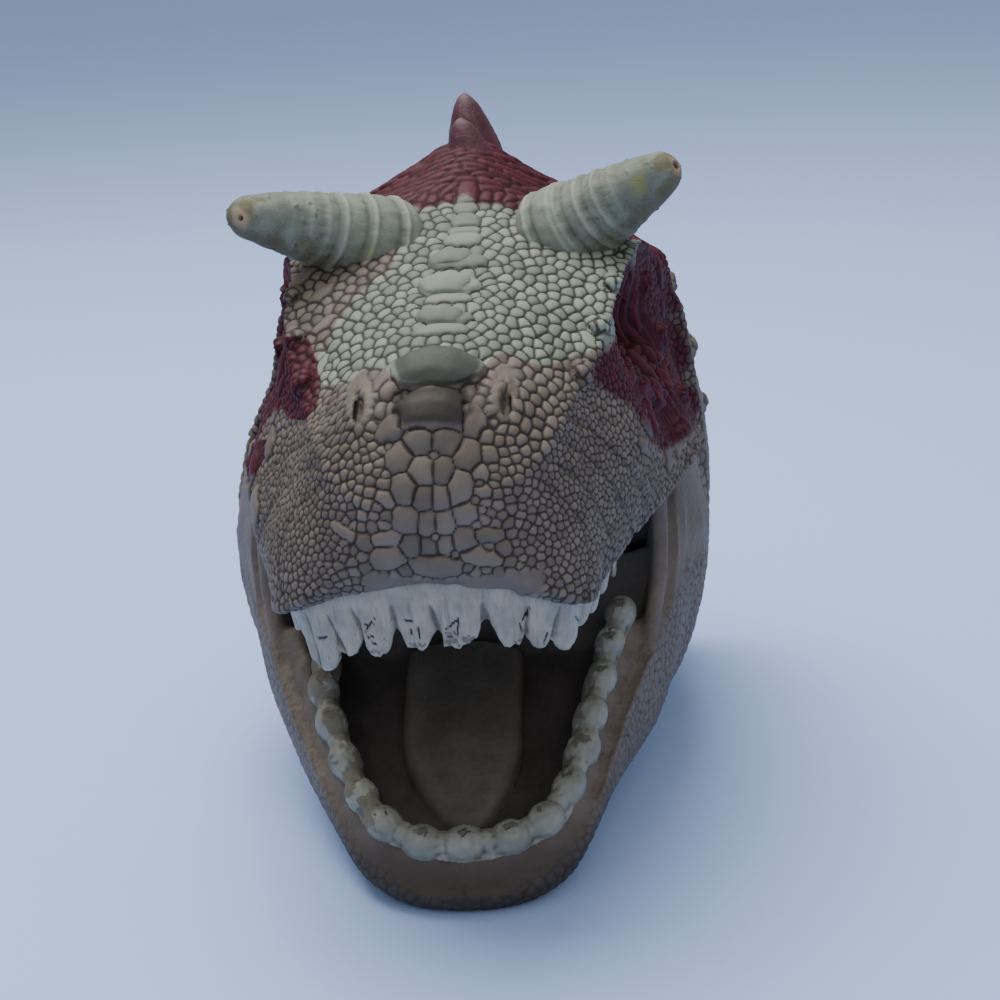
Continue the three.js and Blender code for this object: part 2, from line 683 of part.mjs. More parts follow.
function neckSleeve() {
  const frontY = head.rearY + seat;
  let sleeve = neckBlock(0, frontY, neck.rearY, 9);
  for (const { behind, below, count, fall } of Object.values(knobRows)) {
    const firstY = head.rearY + behind;
    const firstZ = head.crownRearZ - below;
    const places = range(count).map((i) => [firstY + i * knob.pitch, firstZ - i * fall]);
    for (const [y, z] of places.filter(([along]) => along < neck.rearY - knob.radius)) {
      for (const side of [-1, 1]) {
        const centre = [side * (neckSurface(y, z) - knob.bed), y, z];
        const radii = [knob.height + knob.bed, knob.radius, knob.radius];
        sleeve = sleeve.add(ellipsoid(centre, radii, { segments: 8 }));
      }
    }
  }
  const inside = neckBlock(-wall, frontY - through, neck.rearY + through, 6);
  return sleeve.subtract(inside).subtract(swingRoom());
}

// Thick rolled rim around the hand's opening
function neckCuff() {
  const rows = 6;
  const frontY = neck.rearY + seat;
  const rearY = frontY + cuff.length;
  const rings = range(rows + 1).map((i) => {
    const t = i / rows;
    const roll = cuff.overhang * Math.sin(Math.PI * t);
    return neckRing(lerp(frontY, rearY, t), roll).map((p) => point(p.x, p.y, Math.max(0, p.z)));
  });
  return skinOver(rings).subtract(neckBlock(-cuff.wall, frontY - through, rearY + through, 2));
}

// Horns: ringed cones along a bent line, rooted on the crown
function hornBody({ base, bend, tip }, trim) {
  const line = new THREE.CatmullRomCurve3([point(...base), point(...bend), point(...tip)]);
  const stations = 15;
  const sides = 16;
  const up = point(0, 0, 1);
  const ring = (t, radius) => {
    const along = line.getTangentAt(Math.min(t, 1));
    const across = new THREE.Vector3().crossVectors(along, up).normalize();
    const over = new THREE.Vector3().crossVectors(across, along);
    const centre = line.getPointAt(Math.min(t, 1));
    return range(sides).map((j) => {
      const a = (j / sides) * 2 * Math.PI;
      const shifted = centre.clone().addScaledVector(across, radius * Math.cos(a));
      return shifted.addScaledVector(over, radius * Math.sin(a));
    });
  };
  const radiusAt = (t) => {
    const place = t * (hornRadii.length - 1);
    const i = Math.min(hornRadii.length - 2, Math.floor(place));
    const plain = lerp(hornRadii[i], hornRadii[i + 1], place - i);
    const saw = t < hornRings.smoothFrom ? 1 - ((t * hornRings.count) % 1) : 0;
    return (plain + hornRings.height * saw) * round((1 - t) * hornTip.round + hornTip.bluntness, 2);
  };
  const rings = range(stations + 1).map((i) => ring(i / stations, radiusAt(i / stations)));
  const end = line.getPointAt(1);
  const inward = line.getTangentAt(1).multiplyScalar(-1);
  const bore = new THREE.CylinderGeometry(vent.radius, vent.radius, 2 * vent.depth, 8);
  bore.applyQuaternion(new THREE.Quaternion().setFromUnitVectors(point(0, 1, 0), inward));
  bore.translate(end.x, end.y, end.z);
  return skinOver(rings).subtract(trim).subtract(solidOf(bore));
}

// Spines: flat-sided blades that lean back along the midline
function spineBody({ y, half, depth, height, lean }, trim) {
  const rows = 7;
  const sides = 12;
  const foot = (y < head.rearY ? topLine(y) : neckLines(y, 0).top) - spineBed;
  const rings = range(rows).map((i) => {
    const t = 1 - (1 - i / rows) ** spineShape.crowd;
    const width = (1 - t * t) ** spineShape.blunt;
    return range(sides).map((j) => {
      const a = (j / sides) * 2 * Math.PI;
      const x = half * width * Math.cos(a);
      return point(x, y + lean * t + depth * width * Math.sin(a), foot + (height + spineBed) * t);
    });
  });
  return skinOver(rings, null, point(0, y + lean, foot + height + spineBed)).subtract(trim);
}

// Materials
const paint = (color, roughness) => new THREE.MeshStandardMaterial({ color, roughness, metalness: 0 });
const taupe = paint(0x6f625e, 0.6);
const cream = paint(0xa9ada0, 0.62);
const crimson = paint(0x5c1b2c, 0.6);
const ivory = paint(0xa8aaa2, 0.5);
const mouth = paint(0x2f2b2b, 0.55);
const tongueSkin = paint(0x453d3a, 0.45);
const eyeGloss = paint(0x1a1512, 0.12);

// Assembly
const puppet = new THREE.Group();
puppet.position.y = -(head.noseY + neck.rearY + seat + cuff.length) / 2; // centred over its footprint
const aboveHead = headBlock(seat, { scutes: true, rearY: head.rearY + 1 });
const aboveNeck = neckBlock(seat, head.rearY - 1, neck.rearY + cuff.length, 12);
const upper = new THREE.Group();
upper.add(meshOf("head_skin", headSkin(), taupe));
upper.add(meshOf("palate_lining", palateLining(), mouth));
upper.add(meshOf("throat_wall", throatWall(), mouth));
upper.add(meshOf("upper_tooth_strip", upperToothStrip(), ivory));
upper.add(meshOf("left_eye", eyeButton(-1), eyeGloss));
upper.add(meshOf("right_eye", eyeButton(1), eyeGloss));
for (const [name, horn] of Object.entries(horns)) {
  upper.add(meshOf(name, hornBody(horn, aboveHead), cream));
}
for (const [name, spine] of Object.entries(spines)) {
  upper.add(meshOf(name, spineBody(spine, aboveHead.add(aboveNeck)), crimson));
}
upper.add(meshOf("neck_sleeve", neckSleeve(), taupe));
upper.add(meshOf("neck_cuff", neckCuff(), taupe));

const lower = new THREE.Group();
lower.add(meshOf("jaw_skin", jawSkin(), taupe));
lower.add(meshOf("mouth_floor", mouthFloor(), mouth));
lower.add(meshOf("tongue", tongueBody(), tongueSkin));
lower.add(meshOf("lower_tooth_strip", lowerToothStrip(), ivory));

puppet.add(upper, lower);
export default puppet;
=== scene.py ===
# Looks of a soft rubber dinosaur hand puppet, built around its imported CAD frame
import math

import bpy
import numpy as np
from mathutils import Matrix, Vector, noise
from mathutils.bvhtree import BVHTree
from mathutils.kdtree import KDTree


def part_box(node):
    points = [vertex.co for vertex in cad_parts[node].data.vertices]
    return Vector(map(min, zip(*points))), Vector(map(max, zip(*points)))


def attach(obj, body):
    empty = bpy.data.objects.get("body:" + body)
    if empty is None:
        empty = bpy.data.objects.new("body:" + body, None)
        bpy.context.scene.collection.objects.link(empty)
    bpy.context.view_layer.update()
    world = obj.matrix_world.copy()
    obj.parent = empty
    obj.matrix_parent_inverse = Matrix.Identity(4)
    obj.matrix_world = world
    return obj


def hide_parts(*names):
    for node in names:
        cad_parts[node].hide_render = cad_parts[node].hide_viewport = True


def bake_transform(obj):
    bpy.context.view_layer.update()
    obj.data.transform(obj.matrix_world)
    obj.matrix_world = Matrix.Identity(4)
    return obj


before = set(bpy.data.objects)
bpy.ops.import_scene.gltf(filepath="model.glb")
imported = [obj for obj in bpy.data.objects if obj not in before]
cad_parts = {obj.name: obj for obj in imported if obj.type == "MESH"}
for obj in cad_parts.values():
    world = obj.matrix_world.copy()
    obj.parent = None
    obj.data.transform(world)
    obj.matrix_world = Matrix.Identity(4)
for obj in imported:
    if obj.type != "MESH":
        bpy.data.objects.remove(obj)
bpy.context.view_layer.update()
mm = 0.001
dice = np.random.default_rng(7)


# Camera, at the angle of the photograph
photo = {
    "azimuth": 4.8,
    "elevation": 17.0,
    "roll": 3.3,
    "target": (6.0, -5.0, 66.5),  # mm
    "distance": 470.0,  # mm
    "focalPixels": 2162.0,
    "middlePixel": 500.0,
    "sensor": 36.0,
}


def cameraAxes():
    azimuth, elevation, roll = (math.radians(photo[k]) for k in ("azimuth", "elevation", "roll"))
    back = Vector((
        math.sin(azimuth) * math.cos(elevation),
        -math.cos(azimuth) * math.cos(elevation),
        math.sin(elevation),
    ))
    level = Vector((math.cos(azimuth), math.sin(azimuth), 0))
    upright = level.cross(-back)
    right = level * math.cos(roll) - upright * math.sin(roll)
    up = upright * math.cos(roll) + level * math.sin(roll)
    eye = Vector(photo["target"]) * mm + back * photo["distance"] * mm
    return eye, right, up, back


def pixelRay(x, y):
    eye, right, up, back = cameraAxes()
    across = (x - photo["middlePixel"]) / photo["focalPixels"]
    down = (y - photo["middlePixel"]) / photo["focalPixels"]
    return eye, (right * across - up * down - back).normalized()


def addCamera():
    eye, right, up, back = cameraAxes()
    data = bpy.data.cameras.new("photoCamera")
    data.sensor_width = photo["sensor"]
    data.lens = photo["focalPixels"] * photo["sensor"] / (2 * photo["middlePixel"])
    data.clip_start = 0.01
    camera = bpy.data.objects.new("photoCamera", data)
    camera.matrix_world = Matrix.Translation(eye) @ Matrix((right, up, back)).transposed().to_4x4()
    bpy.context.scene.collection.objects.link(camera)
    bpy.context.scene.camera = camera


addCamera()
print("camera set")


# Small maths on arrays
def smooth(low, high, value):
    share = np.clip((value - low) / (high - low), 0, 1)
    return share * share * (3 - 2 * share)


def bell(*shares):
    return np.exp(-sum(s * s for s in shares))


def mix(a, b, share):
    return a + (b - a) * share


def unit(v):
    return v / np.maximum(np.linalg.norm(v, axis=-1, keepdims=True), 1e-12)


# A surface as arrays: points in metres, faces of three or four corners
class Shape:
    def __init__(self, points, faces):
        self.points = np.asarray(points, float)
        self.faces = np.asarray(faces, int)

    def edges(self):
        corners = self.faces
        pairs = np.concatenate([
            np.stack([corners[:, k], corners[:, (k + 1) % corners.shape[1]]], 1)
            for k in range(corners.shape[1])
        ])
        return np.unique(np.sort(pairs, 1), axis=0)

    def spacing(self):
        first, last = self.edges().T
        return np.linalg.norm(self.points[first] - self.points[last], axis=1)

    def normals(self):
        p, f = self.points, self.faces
        last = f[:, 3] if f.shape[1] == 4 else f[:, 0]
        first = p[f[:, 2]] - p[f[:, 0]]
        second = p[last] - p[f[:, 1]]
        flat = np.cross(first, second)
        total = np.zeros_like(p)
        for k in range(3):
            for c in range(f.shape[1]):
                total[:, k] += np.bincount(f[:, c], flat[:, k], len(p))
        return unit(total)

    def relax(self, steps, inward=-0.52, where=None):
        edges = self.edges()
        count = len(self.points)
        links = np.bincount(edges.ravel(), minlength=count).astype(float)
        where = np.ones(count) if where is None else where
        for step in range(steps):
            for pull in (0.5, inward):
                mean = np.stack([
                    np.bincount(edges[:, 0], self.points[edges[:, 1], k], count)
                    + np.bincount(edges[:, 1], self.points[edges[:, 0], k], count)
                    for k in range(3)
                ], 1) / links[:, None]
                self.points += (mean - self.points) * (pull * where)[:, None]
        return self

    # Moves the surface along its normals by these heights in mm
    def push(self, heights, normals=None):
        normals = self.normals() if normals is None else normals
        self.points += normals * heights[:, None] * mm
        return self

    def spread(self, mask, steps):
        edges = self.edges()
        mask = mask.copy()
        for step in range(steps):
            touched = mask[edges].any(1)
            mask[edges[touched].ravel()] = True
        return mask

    def blurred(self, values, steps):
        edges = self.edges()
        count = len(self.points)
        links = np.maximum(np.bincount(edges.ravel(), minlength=count), 1)
        for step in range(steps):
            total = np.bincount(edges[:, 0], values[edges[:, 1]], count)
            total += np.bincount(edges[:, 1], values[edges[:, 0]], count)
            values = 0.5 * values + 0.5 * total / links
        return values

    def kept(self, mask):
        inside = mask[self.faces].all(1)
        used = np.unique(self.faces[inside])
        place = np.full(len(self.points), -1)
        place[used] = np.arange(len(used))
        return Shape(self.points[used], place[self.faces[inside]]), used


def welded(points, faces):
    keys = np.round(points / 1e-7).astype(np.int64)
    first, back = np.unique(keys, axis=0, return_index=True, return_inverse=True)[1:]
    faces = back.ravel()[faces]
    whole = (faces[:, 0] != faces[:, 1]) & (faces[:, 1] != faces[:, 2]) & (faces[:, 0] != faces[:, 2])
    return Shape(points[first], faces[whole])


def cadShape(node, grow=0.0):
    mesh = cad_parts[node].data
    mesh.calc_loop_triangles()
    points = np.zeros(len(mesh.vertices) * 3)
    mesh.vertices.foreach_get("co", points)
    faces = np.zeros(len(mesh.loop_triangles) * 3, int)
    mesh.loop_triangles.foreach_get("vertices", faces)
    shape = welded(points.reshape(-1, 3), faces.reshape(-1, 3))
    shape.points += shape.normals() * grow
    return shape


def joined(*shapes):
    points, faces, first = [], [], 0
    for shape in shapes:
        points.append(shape.points)
        faces.append(shape.faces + first)
        first += len(shape.points)
    return Shape(np.concatenate(points), np.concatenate(faces))


def quadded(shape):
    last = shape.faces[:, 2:3]
    return Shape(shape.points, np.concatenate([shape.faces, last], 1))


def remeshed(shape, voxel):
    mesh = bpy.data.meshes.new("rough")
    mesh.from_pydata(shape.points.tolist(), [], shape.faces.tolist())
    rough = bpy.data.objects.new("rough", mesh)
    bpy.context.scene.collection.objects.link(rough)
    remesh = rough.modifiers.new("remesh", "REMESH")
    remesh.mode = "VOXEL"
    remesh.voxel_size = voxel
    made = bpy.data.meshes.new_from_object(rough.evaluated_get(bpy.context.evaluated_depsgraph_get()))
    points = np.zeros(len(made.vertices) * 3)
    made.vertices.foreach_get("co", points)
    faces = np.zeros(len(made.loops), int)
    made.loops.foreach_get("vertex_index", faces)
    bpy.data.objects.remove(rough)
    bpy.data.meshes.remove(mesh)
    bpy.data.meshes.remove(made)
    return Shape(points.reshape(-1, 3), faces.reshape(-1, 4))


def addPiece(name, shapes, material, masks=None):
    shape = joined(*shapes) if len(shapes) > 1 else shapes[0]
    mesh = bpy.data.meshes.new(name)
    mesh.from_pydata(shape.points.tolist(), [], shape.faces.tolist())
    mesh.polygons.foreach_set("use_smooth", np.ones(len(shape.faces), bool))
    for mask, values in (masks or {}).items():
        layer = mesh.attributes.new(mask, "FLOAT", "POINT")
        layer.data.foreach_set("value", values.astype(np.float32))
    mesh.materials.append(material)
    piece = bpy.data.objects.new(name, mesh)
    bpy.context.scene.collection.objects.link(piece)
    return piece


# Shader nodes, written as sums
class Wire:
    def __init__(self, tree, socket=None):
        self.tree = tree
        self.socket = socket

    def node(self, kind, settings=(), inputs=(), out=0):
        made = self.tree.nodes.new("ShaderNode" + kind)
        for name, value in dict(settings).items():
            if name == "stops":
                for spare in range(len(value) - 2):
                    made.color_ramp.elements.new(0.5)
                for stop, (place, colour) in zip(made.color_ramp.elements, value):
                    stop.position = place
                    stop.color = (*colour, 1)
            else:
                setattr(made, name, value)
        for key, value in dict(inputs).items():
            if isinstance(value, Wire):
                self.tree.links.new(value.socket, made.inputs[key])
            else:
                made.inputs[key].default_value = value
        return Wire(self.tree, made.outputs[out])

    def maths(self, operation, *values):
        return self.node("Math", {"operation": operation}, dict(enumerate(values)))

    def __add__(self, other):
        return self.maths("ADD", self, other)

    def __radd__(self, other):
        return self.maths("ADD", other, self)

    def __sub__(self, other):
        return self.maths("SUBTRACT", self, other)

    def __rsub__(self, other):
        return self.maths("SUBTRACT", other, self)

    def __mul__(self, other):
        return self.maths("MULTIPLY", self, other)

    def __rmul__(self, other):
        return self.maths("MULTIPLY", other, self)

    def step(self, low, high):
        return self.node("MapRange", {"interpolation_type": "SMOOTHSTEP"}, {0: self, 1: low, 2: high})

    def mask(self, name):
        return self.node("Attribute", {"attribute_name": name}, out="Fac")

    def blend(self, share, first, second, way="MIX"):
        settings = {"data_type": "RGBA", "blend_type": way}
        return self.node("Mix", settings, {0: share, 6: first, 7: second}, out=2)

    # Where a point lies, in units of this many mm
    def place(self, size):
        whole = self.node("TexCoord", out="Object")
        return self.node("Mapping", {}, {"Vector": whole, "Scale": [1 / (size * mm)] * 3})

    def noise(self, size, detail=3.0, rough=0.55):
        inputs = {"Vector": self.place(size), "Scale": 1.0, "Detail": detail, "Roughness": rough}
        return self.node("TexNoise", {}, inputs)

    def cells(self, size):
        inputs = {"Vector": self.place(size), "Scale": 1.0}
        return self.node("TexVoronoi", {"feature": "SMOOTH_F1"}, inputs, out="Distance")


def colour(red, green, blue):
    return [*(((c / 255) / 12.92 if c <= 10.3 else ((c / 255 + 0.055) / 1.055) ** 2.4)
              for c in (red, green, blue)), 1]


def newMaterial(name):
    material = bpy.data.materials.new(name)
    material.use_nodes = True
    return material, Wire(material.node_tree)


# Sets or links the shader's sockets. A height, in units of this depth in mm, adds a fine relief.
def plug(wire, height=None, strength=0.4, depth=0.3, **inputs):
    shader = wire.tree.nodes["Principled BSDF"]
    if height is not None:
        relief = {"Strength": strength, "Distance": depth * mm, "Height": height}
        inputs["Normal"] = wire.node("Bump", {}, relief)
    for name, value in inputs.items():
        key = name.replace("_", " ")
        if isinstance(value, Wire):
            wire.tree.links.new(value.socket, shader.inputs[key])
        else:
            shader.inputs[key].default_value = value


rubber = {
    "taupe": colour(93, 83, 75),
    "taupePale": colour(116, 106, 97),
    "taupeShade": colour(50, 46, 42),
    # Dirt and painted shade in the grooves between scales
    "taupeDark": colour(36, 31, 28),
    # A darker copy of the cream: painted shade on the snout's boss
    "boss": colour(74, 78, 70),
    "cream": colour(108, 115, 104),
    "creamPale": colour(136, 143, 131),
    # Dirt and painted shade in the cream's grooves
    "creamDirtAndShade": colour(34, 36, 28),
    "crimson": colour(64, 3, 22),
    "crimsonPale": colour(78, 12, 35),
    # Painted shade in the crimson's grooves and folds, with dirt in the grooves
    "crimsonDark": colour(30, 5, 12),
    "lining": colour(48, 43, 40),
    "liningPale": colour(60, 54, 50),
}


# Grey-brown rubber with cream sprayed from above and crimson brushed into the hollows
# Its grooves are darkened with dirt and painted shade, and the snout's boss and the chin with painted shade
def skinMaterial():
    material, w = newMaterial("scaledRubber")
    groove = w.mask("groove")
    tone = w.mask("tone")
    cloudy = w.noise(14, 4)
    speckle = w.noise(0.55, 2, 0.7)
    base = w.blend((cloudy * 0.7 + tone * 0.3).step(0.3, 0.75), rubber["taupe"], rubber["taupePale"])
    # Painted shade on the snout's boss, its front scute and under the chin
    base = w.blend(w.mask("boss"), base, rubber["taupeShade"])
    # Dirt and painted shade in the grooves
    base = w.blend(groove.step(0.15, 0.95) * 0.85, base, rubber["taupeDark"])
    sprayed = (w.mask("cream") + (speckle - 0.5) * 0.5 + (tone - 0.5) * 0.3 - groove * 0.2).step(0.36, 0.74)
    cream = w.blend((tone * 0.6 + cloudy * 0.9 - 0.25).step(0.2, 0.9), rubber["cream"], rubber["creamPale"])
    # Painted shade: the cream darkened on the snout's boss
    cream = w.blend(w.mask("boss"), cream, rubber["boss"])
    # Dirt and painted shade in the cream's grooves
    cream = w.blend(groove.step(0.25, 0.95) * 0.9, cream, rubber["creamDirtAndShade"])
    base = w.blend(sprayed, base, cream)
    brushed = (w.mask("crimson") + (speckle - 0.5) * 0.4 + (tone - 0.5) * 0.25).step(0.36, 0.8)
    red = w.blend((tone * 0.6 + cloudy * 0.5).step(0.35, 0.9), rubber["crimson"], rubber["crimsonPale"])
    # Painted shade in the crimson's grooves and the socket's folds, with dirt in the grooves
    red = w.blend(groove.step(0.1, 0.9) * 0.85, red, rubber["crimsonDark"])
    base = w.blend(brushed, base, red)
    lining = w.blend(w.noise(8, 3), rubber["lining"], rubber["liningPale"])
    base = w.blend(w.mask("lining").step(0.3, 0.7), base, lining)
    grain = w.cells(0.95) * w.mask("grain")
    fine = w.noise(0.35, 3, 0.7)
    rough = 0.5 + cloudy * 0.16 + groove * 0.15
    plug(w, grain * -1.2 + fine * 0.35 + speckle * 0.2, 0.5, Base_Color=base, Roughness=rough,
         Specular_IOR_Level=0.26)
    return material


skinRubber = skinMaterial()
print("skin material made")


# What several pieces share
def projected(points):
    eye, right, up, back = (np.array(v) for v in cameraAxes())
    away = np.asarray(points) - eye
    depth = -(away @ back)
    scale = photo["focalPixels"] / depth
    return photo["middlePixel"] + (away @ right) * scale, photo["middlePixel"] - (away @ up) * scale


def surfaceOf(shape):
    return BVHTree.FromPolygons([tuple(p) for p in shape.points], shape.faces.tolist())


def seen(skin, x, y):
    hit = skin.ray_cast(*pixelRay(x, y))[0]
    return None if hit is None else np.array(hit)


def cloud(points, size, stretch=(1, 1, 1), seed=0):
    scaled = points * np.array(stretch) / (size * mm) + seed * 17.3
    return np.array([noise.noise(p) for p in scaled])


def proud(shape, steps=6):
    flat = Shape(shape.points.copy(), shape.faces).relax(steps, 0.0)
    return ((shape.points - flat.points) * shape.normals()).sum(1) / mm


# A skin over rings of equally many points, open or closed at its ends
def lofted(rings, closeEnds=True):
    count, around = len(rings), len(rings[0])
    points = [p for ring in rings for p in ring]
    faces = []
    for i in range(count - 1):
        for j in range(around):
            a, b = i * around + j, i * around + (j + 1) % around
            faces.append((a, b, b + around, a + around))
    if closeEnds:
        for first, turned in ((0, True), ((count - 1) * around, False)):
            hub = len(points)
            points.append(np.mean(points[first:first + around], 0))
            for j in range(0, around, 2):
                a, b, c = first + j, first + (j + 1) % around, first + (j + 2) % around
                faces.append((hub, c, b, a) if turned else (hub, a, b, c))
    return Shape(np.array(points), np.array(faces))


def ball(middle, radius, rings=10, sides=16):
    made = []
    for i in range(1, rings):
        a = math.pi * i / rings
        turn = np.arange(sides) * 2 * math.pi / sides
        made.append(np.stack([np.cos(turn) * math.sin(a), np.sin(turn) * math.sin(a),
                              np.full(sides, math.cos(a))], 1) * radius + middle)
    return lofted(made)


def softened(node, voxel, relax, grow=0.2):
    shape = remeshed(cadShape(node, grow * mm), voxel * mm)
    shape.points -= shape.normals() * grow * mm
    return shape.relax(relax)


def segmentDistance(x, y, first, last):
    ax, ay = first
    bx, by = last
    share = np.clip(((x - ax) * (bx - ax) + (y - ay) * (by - ay)) / ((bx - ax) ** 2 + (by - ay) ** 2), 0, 1)
    return np.hypot(x - ax - share * (bx - ax), y - ay - share * (by - ay))


# Share of each point, from 0 to 1, that lies inside an outline, with a soft edge this wide
def within(x, y, outline, feather):
    inside = np.zeros(len(x), bool)
    gap = np.full(len(x), np.inf)
    for (ax, ay), (bx, by) in zip(outline, outline[1:] + outline[:1]):
        gap = np.minimum(gap, segmentDistance(x, y, (ax, ay), (bx, by)))
        if ay != by:
            inside ^= ((ay > y) != (by > y)) & (x < ax + (y - ay) * (bx - ax) / (by - ay))
    return smooth(-feather, feather, np.where(inside, gap, -gap))


# Listed scutes: pixel x, pixel y, half width and half height in pixels, tilt in degrees.
# Each is laid on the skin where the photograph shows it.
scutes = {
    "boss": [(437, 362, 41, 20, 0), (431, 405, 34, 17, 0)],
    "snoutColumn": [
        (418.5, 442.5, 13, 13.5, 0), (446, 442.5, 15.5, 13.5, 0), (422, 471, 12, 13.5, 0),
        (442.5, 470.5, 10, 12.5, 0), (423, 498, 10, 12, 0), (441, 498, 8.5, 11.5, 0),
        (427.5, 523, 8.5, 12, 0), (444.5, 522, 9.5, 12, 0),
        (429.5, 546, 7.5, 7.5, 0), (445, 544.5, 7.5, 8, 0), (437.5, 566, 23, 10, 0),
    ],
    "snoutLeft": [
        (392, 428.5, 12, 11, 0), (400, 458, 14, 12.5, 20), (404.5, 489, 13, 14, 0),
        (405.5, 519.5, 12.5, 13, 0), (410.5, 544.5, 10, 10.5, 0), (387.5, 538, 15, 7.5, 12),
        (387.5, 557, 16, 11, 20), (380.5, 411.5, 5.5, 7, 0),
        (391, 410, 4.5, 5.5, 0), (388.5, 392, 8, 8, 0), (384, 378.5, 7, 7, 20), (385, 498, 9, 7.5, -30),
        (384, 484.5, 7, 5.5, -20), (363.5, 542, 7, 8, 0), (344, 531, 14, 6, -22),
    ],
    "snoutRight": [
        (472.5, 420.5, 12, 15, 0), (468, 456, 12.5, 14.5, -20), (460, 488, 11.5, 16.5, -10),
        (466, 512.5, 11.5, 10.5, 0), (464.5, 540, 11, 11.5, 0), (489.5, 534.5, 14, 7.5, -5),
        (482, 556, 20, 8.5, -14), (504.5, 548, 7.5, 7, 0),
        (486.5, 436.5, 7, 7, 0), (489.5, 455, 8, 8, 0), (480.5, 473, 7.5, 7.5, 0), (484, 492, 8, 6.5, 0),
    ],
    "crownMidline": [
        (441, 332, 25, 5, 0), (445.5, 315.5, 24, 8, -3), (448, 301, 21, 4.5, 0), (450.5, 284, 27, 10.5, 3),
        (458.5, 262, 25, 9, 7), (463.5, 242.5, 17, 6, 0), (464.5, 233, 15, 3.5, 0),
        (466, 223.5, 13.5, 6, 0), (466, 210.5, 12, 4.5, 0), (468, 199, 11, 7, 0),
    ],
    "browRight": [
        (604, 344, 6, 8, -20), (587.5, 341, 6.5, 8, 0),
    ],
    "browLeft": [
        (323, 295.5, 8, 7, 0), (325.5, 326.5, 7, 7, 0), (322, 369, 5, 8, 15), (306, 277.5, 7, 8, 0),
    ],
    "postorbitalRight": [
        (657.5, 273, 5, 12, 0), (661, 309.5, 5, 9, 0), (655.5, 331, 8, 12, 5), (648, 353.5, 6, 10, 5),
        (640.5, 367.5, 6, 8, 0), (659.5, 368.5, 6, 12, -10), (656, 391.5, 7, 11, -10),
        (653, 409, 7, 10, -10),
        (646, 425.5, 9, 9, 0), (641.5, 445.5, 7, 9, 0),
    ],
    "cheekRight": [
        (687.5, 427, 7, 12, 20), (677.5, 442, 8, 12, 20), (668, 456, 7, 9, 20), (694, 415, 5, 9, 20),
    ],
    "postorbitalLeft": [
        (286, 319, 5, 9, 0), (283, 344, 6, 11, 0), (283, 368.5, 6, 10, 0), (283, 386, 5, 7, 0),
        (278, 412, 4, 7, 0),
    ],
    "cheekLeft": [
        (257, 463.5, 8, 9, -20), (251.5, 488.5, 6, 10, -10), (258.5, 505, 8, 10, -15),
        (273, 444.5, 7, 10, -30),
    ],
}

# How a scute's half axes are laid on the surface
laying = {
    "growth": 1.06,
    "liftMost": 0.45,  # a half axis that leaves the plane by more than this share of itself isn't used
    "lengthMost": 1.9,  # nor one longer than its pixels by this factor
    "slantTop": 0.38,  # least cosine between sight line and surface, on top and on the flanks
    "slantFlank": 0.6,
    "top": 0.6,  # a surface that faces up by this much is on top
    "flank": 0.25,
    "flankBottom": 480,  # pixels
    "flankGrowth": 0.88,
}

pebbles = {
    "crown": 1.45,  # radii in mm
    "snoutNear": 1.08,
    "snoutFar": 0.78,
    "lip": 0.95,
    "rearHead": 1.0,
    "rear": 1.05,
    "edge": (0.28, 0.36),  # width of a scale's rounded edge, and what it gains with each mm of radius
    "relief": 0.66,  # height of a scale of 1 mm radius
    "firm": 2.0,  # how much a broad scute keeps its own outline against smaller scales
    "firmFrom": (1.7, 2.1),  # mean radius, in mm, of those that do
    "reach": (2.2, 3.2),  # a scale ends between these multiples of its own size
    "dome": 1.2,
    "grooveShare": 0.4,
    "grooveWidth": (0.3, 0.85),  # mm
    "sizeMost": 3.2,  # mm
    "narrowMost": 1.25,
    "domeShare": 0.45,
    "marks": 1.2,  # mm between the points that stand for a broad scute
    "marksFrom": 2.3,  # mm, half axis of those that have them
    "marksRead": 22,
}


def treeOf(points):
    tree = KDTree(len(points))
    for i, p in enumerate(points):
        tree.insert(p, i)
    tree.balance()
    return tree


# One scale: its middle, and its two half axes as vectors on the surface
def laidScute(skin, x, y, halfWide, halfHigh, tilt):
    eye, way = pixelRay(x, y)
    struck = skin.ray_cast(eye, way)
    hit, facing, distance = struck[0], struck[1], struck[3]
    if hit is None:
        return None
    middle, facing = np.array(hit), np.array(facing)
    right, up = (np.array(v) for v in cameraAxes()[1:3])
    turn = math.radians(tilt)
    halves = []
    for along, across_ in ((halfWide, 0), (0, halfHigh)):
        over = along * math.cos(turn) + across_ * math.sin(turn)
        down = -along * math.sin(turn) + across_ * math.cos(turn)
        plain = (right * over - up * down) * distance / photo["focalPixels"]
        size = np.linalg.norm(plain)
        arms = []
        for sign in (1, -1):
            end = seen(skin, x + sign * over, y + sign * down)
            if end is None:
                continue
            arm = (end - middle) * sign
            lift = arm @ facing
            length = np.linalg.norm(arm)
            if abs(lift) < laying["liftMost"] * length and length < laying["lengthMost"] * size:
                arms.append(arm - lift * facing)
        if not arms:
            ahead = np.array(way)
            slant = laying["slantTop"] if facing[2] > laying["top"] else laying["slantFlank"]
            arm = plain - ahead * (plain @ facing) / min(ahead @ facing, -slant)
            arms.append(arm - (arm @ facing) * facing)
        onFlank = facing[2] < laying["flank"] and y < laying["flankBottom"]
        halves.append(np.mean(arms, 0) * laying["growth"] * (laying["flankGrowth"] if onFlank else 1))
    return middle, *halves


